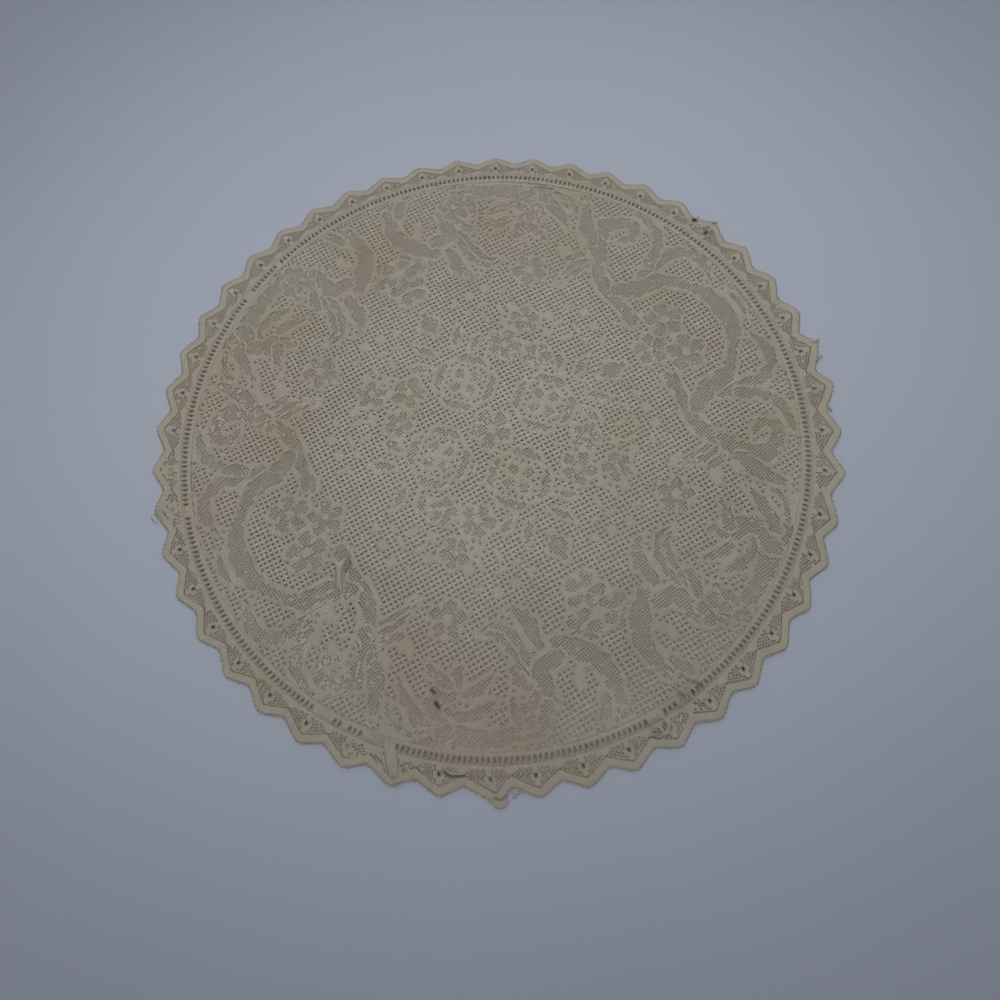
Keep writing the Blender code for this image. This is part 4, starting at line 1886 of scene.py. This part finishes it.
class Nodes:
    """A node tree with short calls to add nodes and join them."""

    def __init__(self, tree: bpy.types.NodeTree) -> None:
        """Take the tree to add to."""
        self.tree = tree

    def add(self, kind: str, values: dict | None = None, **settings: object) -> bpy.types.Node:
        """Add a node, with its settings and the values or links of its inputs.

        Args:
            kind: type of the node.
            values: value or link of each input, by its name or number.
            settings: its other settings.

        Returns:
            The node.
        """
        node = self.tree.nodes.new(kind)
        for name, value in settings.items():
            setattr(node, name, value)
        for name, value in (values or {}).items():
            if isinstance(value, Socket):
                self.tree.links.new(value, node.inputs[name])
            else:
                node.inputs[name].default_value = value
        return node

    def math(self, operation: str, first: object, second: object = 0.0) -> Socket:
        """Add a Math node of two values."""
        return self.add("ShaderNodeMath", {0: first, 1: second}, operation=operation).outputs[0]

    def mix(self, share: object, first: object, second: object, blend: str = "MIX") -> Socket:
        """Add a colour mix."""
        values = {0: share, 6: first, 7: second}
        return self.add("ShaderNodeMix", values, data_type="RGBA", blend_type=blend).outputs[2]

    def tinted(self, share: object, colour: object, tint: tuple) -> Socket:
        """Add a share of a colour multiplied by a tint."""
        return self.mix(share, colour, self.mix(1.0, colour, tint, "MULTIPLY"))

    def scaled(self, value: object, base: float, gain: float) -> Socket:
        """Add a base to a value times a gain."""
        return self.math("ADD", base, self.math("MULTIPLY", value, gain))

    def noise(self, place: object, scale: float, detail: float, roughness: float) -> Socket:
        """Add a noise and give its strength."""
        values = {"Vector": place, "Scale": scale, "Detail": detail, "Roughness": roughness}
        return self.add("ShaderNodeTexNoise", values).outputs["Fac"]

    def ramp(self, value: object, low: float, high: float) -> Socket:
        """Add a smooth step from 0 at low to 1 at high."""
        node = self.add("ShaderNodeMapRange", {0: value, 1: low, 2: high}, interpolation_type="SMOOTHSTEP")
        return node.outputs[0]


def new_group(name: str, inputs: dict[str, object], outputs: dict[str, str]) -> tuple:
    """Start a shader node group.

    Args:
        name: its name.
        inputs: the name and first value of each input; a value of four numbers is a colour.
        outputs: the name and socket type of each output.

    Returns:
        The tree, its Nodes helper, its input node's outputs and its output node's inputs.
    """
    tree = bpy.data.node_groups.new(name, "ShaderNodeTree")
    for socket_name, value in inputs.items():
        kind = "NodeSocketColor" if isinstance(value, tuple) else "NodeSocketFloat"
        socket = tree.interface.new_socket(socket_name, in_out="INPUT", socket_type=kind)
        socket.default_value = value
    for socket_name, kind in outputs.items():
        tree.interface.new_socket(socket_name, in_out="OUTPUT", socket_type=kind)
    nodes = Nodes(tree)
    given = nodes.add("NodeGroupInput").outputs
    result = nodes.add("NodeGroupOutput").inputs
    return tree, nodes, given, result


def thread_relief_group() -> bpy.types.NodeTree:
    """Group 'thread relief': the twist and fuzz of cotton thread, as a height.

    Returns:
        The group.
    """
    tree, nodes, given, result = new_group(
        "thread relief", {"Twist": 1.0, "Fuzz": 1.0}, {"Height": "NodeSocketFloat"})
    place = nodes.add("ShaderNodeTexCoord").outputs["Object"]
    turn = math.radians(Ground.chart_turn_deg)
    turned = nodes.add("ShaderNodeMapping", {"Vector": place, "Rotation": (0.0, 0.0, turn)})
    bands = []
    for direction in ("X", "Y"):
        values = {"Vector": turned.outputs[0], "Scale": 1150.0, "Distortion": 3.0, "Detail": 1.0,
                  "Detail Scale": 1.5}
        wave = nodes.add("ShaderNodeTexWave", values, bands_direction=direction, wave_profile="SIN")
        bands.append(wave.outputs["Fac"])
    twist = nodes.math("MULTIPLY", nodes.math("ADD", *bands), given["Twist"])
    rough = nodes.math("MULTIPLY", nodes.noise(place, 3600.0, 3.0, 0.65), given["Fuzz"])
    nodes.tree.links.new(nodes.math("ADD", twist, rough), result["Height"])
    return tree


def aged_cotton_group() -> bpy.types.NodeTree:
    """Group 'aged cotton': the thread's colour with its yellowing, stains, soil and painted shade, and its
    roughness.

    Returns:
        The group.
    """
    tree, nodes, given, result = new_group(
        "aged cotton",
        {"Thread": (0.5, 0.5, 0.4, 1.0), "Yellowed": (0.5, 0.4, 0.3, 1.0), "Unevenness": 1.0},
        {"Colour": "NodeSocketColor", "Roughness": "NodeSocketFloat"})
    place = nodes.add("ShaderNodeTexCoord").outputs["Object"]
    broad = nodes.noise(place, 26.0, 3.0, 0.55)
    mottle = nodes.noise(place, 190.0, 3.0, 0.6)
    fibre = nodes.noise(place, 1500.0, 2.0, 0.6)
    yellowing = nodes.math("MULTIPLY", nodes.ramp(broad, 0.38, 0.72), given["Unevenness"])
    colour = nodes.mix(yellowing, given["Thread"], given["Yellowed"])
    light = nodes.scaled(mottle, 0.86, 0.28)
    grain = nodes.scaled(fibre, 0.84, 0.32)
    shade = nodes.add("ShaderNodeCombineColor", {0: nodes.math("MULTIPLY", light, grain)})
    for channel in (1, 2):
        nodes.tree.links.new(shade.inputs[0].links[0].from_socket, shade.inputs[channel])
    colour = nodes.mix(1.0, colour, shade.outputs[0], "MULTIPLY")
    marks = nodes.add("ShaderNodeAttribute", attribute_name="ageing_and_shade").outputs
    parts = nodes.add("ShaderNodeSeparateColor", {0: marks["Color"]}).outputs
    colour = nodes.tinted(marks["Alpha"], colour, DULLED_TINT)
    patchy = nodes.ramp(mottle, 0.25, 0.75)
    pink = nodes.math("MULTIPLY", parts[0], nodes.scaled(patchy, 0.35, 0.4))
    colour = nodes.tinted(pink, colour, PINK_TINT)
    green = nodes.math("MULTIPLY", parts[1], nodes.scaled(patchy, 0.5, 0.5))
    colour = nodes.tinted(green, colour, GREEN_TINT)
    # Soil and painted shade darken the thread together.
    soil_and_painted_shade = nodes.math("MULTIPLY", parts[2], nodes.scaled(patchy, 0.6, 0.6))
    colour = nodes.mix(soil_and_painted_shade, colour, SOIL_AND_SHADE_COLOUR)
    nodes.tree.links.new(colour, result["Colour"])
    nodes.tree.links.new(nodes.scaled(fibre, 0.84, 0.14), result["Roughness"])
    return tree


@dataclass(frozen=True)
class CottonFinish:
    """Matt cotton thread that has yellowed with age."""

    name: str
    thread: Colour
    yellowed: Colour
    unevenness: float = 0.8
    twist: float = 1.0
    fuzz: float = 1.0
    relief: float = 0.00012
    sheen: float = 0.12

    def material(self, groups: dict[str, bpy.types.NodeTree]) -> bpy.types.Material:
        """Make the finish's material from the shared groups.

        Args:
            groups: the shared groups, by the names 'cotton' and 'thread'.

        Returns:
            The material.
        """
        material = bpy.data.materials.new(self.name)
        material.use_nodes = True
        nodes = Nodes(material.node_tree)
        shader = material.node_tree.nodes["Principled BSDF"]
        shader.inputs["Sheen Weight"].default_value = self.sheen
        shader.inputs["Sheen Roughness"].default_value = 0.6
        shader.inputs["Specular IOR Level"].default_value = 0.25
        cotton = nodes.add("ShaderNodeGroup", {}, node_tree=groups["cotton"])
        cotton.inputs["Thread"].default_value = (*self.thread, 1.0)
        cotton.inputs["Yellowed"].default_value = (*self.yellowed, 1.0)
        cotton.inputs["Unevenness"].default_value = self.unevenness
        thread = nodes.add("ShaderNodeGroup", {}, node_tree=groups["thread"])
        thread.inputs["Twist"].default_value = self.twist
        thread.inputs["Fuzz"].default_value = self.fuzz
        bump = nodes.add("ShaderNodeBump", {"Height": thread.outputs["Height"], "Strength": 0.7,
                                            "Distance": self.relief})
        links = material.node_tree.links
        links.new(cotton.outputs["Colour"], shader.inputs["Base Color"])
        links.new(cotton.outputs["Roughness"], shader.inputs["Roughness"])
        links.new(bump.outputs["Normal"], shader.inputs["Normal"])
        return material


@dataclass(frozen=True)
class TableFinish:
    """The pale plain table top, with painted shade under the doily, painted light under its ladder and a
    ring of painted shadow under its eyelets.
    """

    name: str = "pale_table"
    colour: Colour = (0.40, 0.436, 0.508)
    # Painted shade under the doily's middle, painted light under its ladder, and a dark ring of painted
    # shade under its eyelets, all seen through the lace's holes.
    painted_shade_under_lace: Colour = (0.37, 0.34, 0.285)
    painted_light_near_rim: Colour = (0.60, 0.558, 0.474)
    painted_shade_under_eyelets: Colour = (0.17, 0.145, 0.102)
    eyelets_from: float = 0.1409
    eyelets_to: float = 0.1425
    eyelets_blur: float = 0.0001
    # The painted shade and light stop this far inside the zigzag edge.
    inside_edge: float = 0.0017
    edge_blur: float = 0.0005
    # Radii where the painted shade turns into painted light.
    shade_to_light_from: float = 0.112
    shade_to_light_to: float = 0.134
    mottle_share: float = 0.965
    lay: ClothLay = ClothLay()

    def edge_radius(self, nodes: Nodes, place: Socket) -> Socket:
        """Radius of the zigzag edge at the heading of each point of the table.

        Args:
            nodes: nodes of the table's material.
            place: place on the table.

        Returns:
            The radius in metres.
        """
        parts = nodes.add("ShaderNodeSeparateXYZ", {"Vector": place}).outputs
        heading = nodes.math("ARCTAN2", parts["Y"], parts["X"])
        turned = nodes.math("SUBTRACT", heading, math.radians(self.lay.first_tip_deg))
        points = nodes.math("MULTIPLY", turned, self.lay.point_count / (2.0 * math.pi))
        from_tip = nodes.math("PINGPONG", points, 0.5)
        fall = nodes.math("MULTIPLY", from_tip, 2.0 * self.lay.lace_depth)
        return nodes.math("SUBTRACT", self.lay.lace_tip, fall)

    def material(self) -> bpy.types.Material:
        """Make the table's material, with a faint mottle, and with painted shade and painted light where it
        lies under the doily.

        Returns:
            The material.
        """
        material = bpy.data.materials.new(self.name)
        material.use_nodes = True
        nodes = Nodes(material.node_tree)
        shader = material.node_tree.nodes["Principled BSDF"]
        shader.inputs["Specular IOR Level"].default_value = 0.3
        place = nodes.add("ShaderNodeTexCoord").outputs["Object"]
        noise = nodes.add("ShaderNodeTexNoise", {"Vector": place, "Scale": 9.0, "Detail": 4.0})
        darker = tuple(self.mottle_share * part for part in self.colour)
        tone = nodes.mix(noise.outputs["Fac"], (*self.colour, 1.0), (*darker, 1.0))
        from_middle = nodes.add("ShaderNodeVectorMath", {0: place}, operation="LENGTH").outputs["Value"]
        # Painted shade under the middle of the doily, turning to painted light under the ladder near its
        # rim.
        near_rim = nodes.ramp(from_middle, self.shade_to_light_from, self.shade_to_light_to)
        painted_shade_under_lace = nodes.mix(near_rim, (*self.painted_shade_under_lace, 1.0), (*self.painted_light_near_rim, 1.0))
        # A ring of darker painted shade under the eyelets.
        blur = self.eyelets_blur
        past_start, past_end = (nodes.ramp(from_middle, radius - blur, radius + blur)
                                for radius in (self.eyelets_from, self.eyelets_to))
        painted_shade_under_lace = nodes.mix(nodes.math("SUBTRACT", past_start, past_end), painted_shade_under_lace, (*self.painted_shade_under_eyelets, 1.0))
        # The painted shade and light give way to the mottled open table just inside the zigzag edge.
        past_edge = nodes.math("SUBTRACT", from_middle, self.edge_radius(nodes, place))
        open_table = nodes.ramp(past_edge, -self.edge_blur - self.inside_edge,
                                self.edge_blur - self.inside_edge)
        tone = nodes.mix(open_table, painted_shade_under_lace, tone)
        material.node_tree.links.new(tone, shader.inputs["Base Color"])
        rough = nodes.scaled(noise.outputs["Fac"], 0.55, 0.1)
        material.node_tree.links.new(rough, shader.inputs["Roughness"])
        return material


# ------------------------------------------------------------------ studio


@dataclass(frozen=True)
class Viewpoint:
    """Where the camera stands, in tip radii from the doily's middle, and how it is turned (radians)."""

    offset: tuple[float, float, float] = (-0.02475686, -0.2005918, 2.04928724)
    tilt: float = 1.26600637
    roll: float = -0.13145572
    lens_mm: float = 25.2
    sensor_mm: float = 36.0

    def build(self, radius: float) -> None:
        """Set up the camera over a doily of the given radius in metres.

        Args:
            radius: radius of the doily in metres.
        """
        cos_roll, sin_roll = math.cos(self.roll), math.sin(self.roll)
        table_x = Vector((cos_roll, sin_roll, 0.0))
        down, depth = -math.sin(self.tilt), math.cos(self.tilt)
        table_y = Vector((-sin_roll * down, cos_roll * down, depth))
        table_up = table_x.cross(table_y)
        place = Vector(self.offset)
        camera = bpy.data.objects.new("camera", bpy.data.cameras.new("camera"))
        camera.data.lens = self.lens_mm
        camera.data.sensor_width = self.sensor_mm
        right = Vector((table_x.x, table_y.x, table_up.x))
        up = -Vector((table_x.y, table_y.y, table_up.y))
        back = -Vector((table_x.z, table_y.z, table_up.z))
        turn = Matrix((right, up, back)).transposed().to_4x4()
        where = -radius * Vector((table_x.dot(place), table_y.dot(place), table_up.dot(place)))
        camera.matrix_world = Matrix.Translation(where) @ turn
        bpy.context.collection.objects.link(camera)
        bpy.context.scene.camera = camera


@dataclass(frozen=True)
class SoftLight:
    """A large soft lamp, where it faces and how widely it spreads."""

    name: str
    place: tuple[float, float, float]
    size: Pair
    watts: float
    aim: tuple[float, float, float] = (0.0, 0.0, 0.0)
    spread_deg: float = 180.0
    colour: Colour = (1.0, 1.0, 1.0)

    def build(self) -> None:
        """Hang the lamp."""
        lamp = bpy.data.lights.new(self.name, "AREA")
        lamp.shape = "ELLIPSE"
        lamp.size, lamp.size_y = self.size
        lamp.energy = self.watts
        lamp.color = self.colour
        lamp.spread = math.radians(self.spread_deg)
        holder = bpy.data.objects.new(self.name, lamp)
        holder.location = self.place
        heading = Vector(self.aim) - Vector(self.place)
        holder.rotation_euler = heading.to_track_quat("-Z", "Y").to_euler()
        bpy.context.collection.objects.link(holder)


@dataclass(frozen=True)
class Studio:
    """A plain table, soft daylight from the far side, and the camera."""

    viewpoint: Viewpoint = Viewpoint()
    lights: tuple[SoftLight, ...] = (
        SoftLight("far_window", (0.10, 0.95, 1.00), (0.9, 0.9), 2.9),
        SoftLight("overhead_softbox", (0.0, 0.08, 0.90), (0.61, 0.46), 0.262, aim=(0.0, 0.056, 0.0),
                  spread_deg=28.0),
    )
    sky: Colour = (0.286, 0.295, 0.314)
    table_half: float = 2.0

    def build(self, radius: float) -> None:
        """Set up the table, the lights and the camera.

        Args:
            radius: radius of the doily in metres.
        """
        start_modelling()
        bpy.ops.mesh.primitive_plane_add(size=2.0 * self.table_half)
        table = bpy.context.object
        table.name = "table_top"
        bpy.ops.object.mode_set(mode="EDIT")
        bpy.ops.mesh.subdivide(number_cuts=3)
        bpy.ops.object.mode_set(mode="OBJECT")
        table.data.materials.append(TableFinish().material())
        for light in self.lights:
            light.build()
        world = bpy.data.worlds.new("soft_room")
        world.use_nodes = True
        world.node_tree.nodes["Background"].inputs["Color"].default_value = (*self.sky, 1.0)
        bpy.context.scene.world = world
        bpy.context.scene.view_settings.view_transform = "Standard"
        self.viewpoint.build(radius)


# ------------------------------------------------------------------ the doily


def dress(piece: Piece, material: bpy.types.Material, node: str) -> None:
    """Give a piece its finish, and let it stand for its solid.

    Args:
        piece: the finished piece.
        material: its finish.
        node: the solid that the piece is part of.
    """
    piece.data.materials.append(material)
    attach(piece, BODY)
    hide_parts(node)
    log.info("%s: %d triangles", piece.name, triangles(piece))


def main() -> None:
    """Build the doily's pieces in order, dress them and set up the studio."""
    logging.basicConfig(level=logging.INFO, format="%(message)s")
    lay = ClothLay()
    ageing_and_shade = AgeingAndShade()
    groups = {"thread": thread_relief_group(), "cotton": aged_cotton_group()}
    thread = srgb(194, 187, 173)
    yellowed = srgb(187, 176, 157)
    net_cotton = CottonFinish("ground_cotton_net", thread, yellowed).material(groups)
    cloth_cotton = CottonFinish("ground_cotton_cloth", thread, yellowed, twist=1.4).material(groups)
    edging_cotton = CottonFinish("edging_cotton_thread", srgb(187, 180, 166), yellowed).material(groups)

    ground = Ground(lay, ageing_and_shade, MotifChart())
    net, cloth, fine_inner, fine_outer = ground.build()
    worn = WornEnds(lay)
    panel_folds = worn.build_folds("panel_folds", worn.panel_folds)
    for piece, finish in ((net, net_cotton), (cloth, cloth_cotton), (fine_inner, net_cotton),
                          (fine_outer, net_cotton), (panel_folds, cloth_cotton)):
        ageing_and_shade.mark(piece)
        dress(piece, finish, "lace_ground")

    strip = Edging(lay, ageing_and_shade)
    edging = strip.build()
    trim = Trim(lay)
    trimmings = [trim.build_cord(), trim.build_picots(), trim.build_seam(), worn.build_threads(),
                 worn.build_lobe(), worn.build_lap(), worn.build_folds("strip_folds", worn.strip_folds)]
    dirt = CottonFinish("dried_dirt", (0.055, 0.042, 0.028), (0.040, 0.031, 0.022)).material(groups)
    for name, specks, slot, node in (("panel_specks", worn.panel_specks, "ground_cotton", "lace_ground"),
                                     ("strip_specks", worn.strip_specks, "edging_cotton", "lace_edging")):
        dress(worn.build_specks(name, specks), dirt, node)
    # The edging also takes painted shade in its eyelets.
    ageing_and_shade.mark(edging, strip.eyelet_painted_shade())
    for piece in trimmings:
        ageing_and_shade.mark(piece)
    for piece in (edging, *trimmings):
        dress(piece, edging_cotton, "lace_edging")

    strip.flat_area()

    Studio().build(lay.tip_radius)


if __name__ == "__main__":
    main()
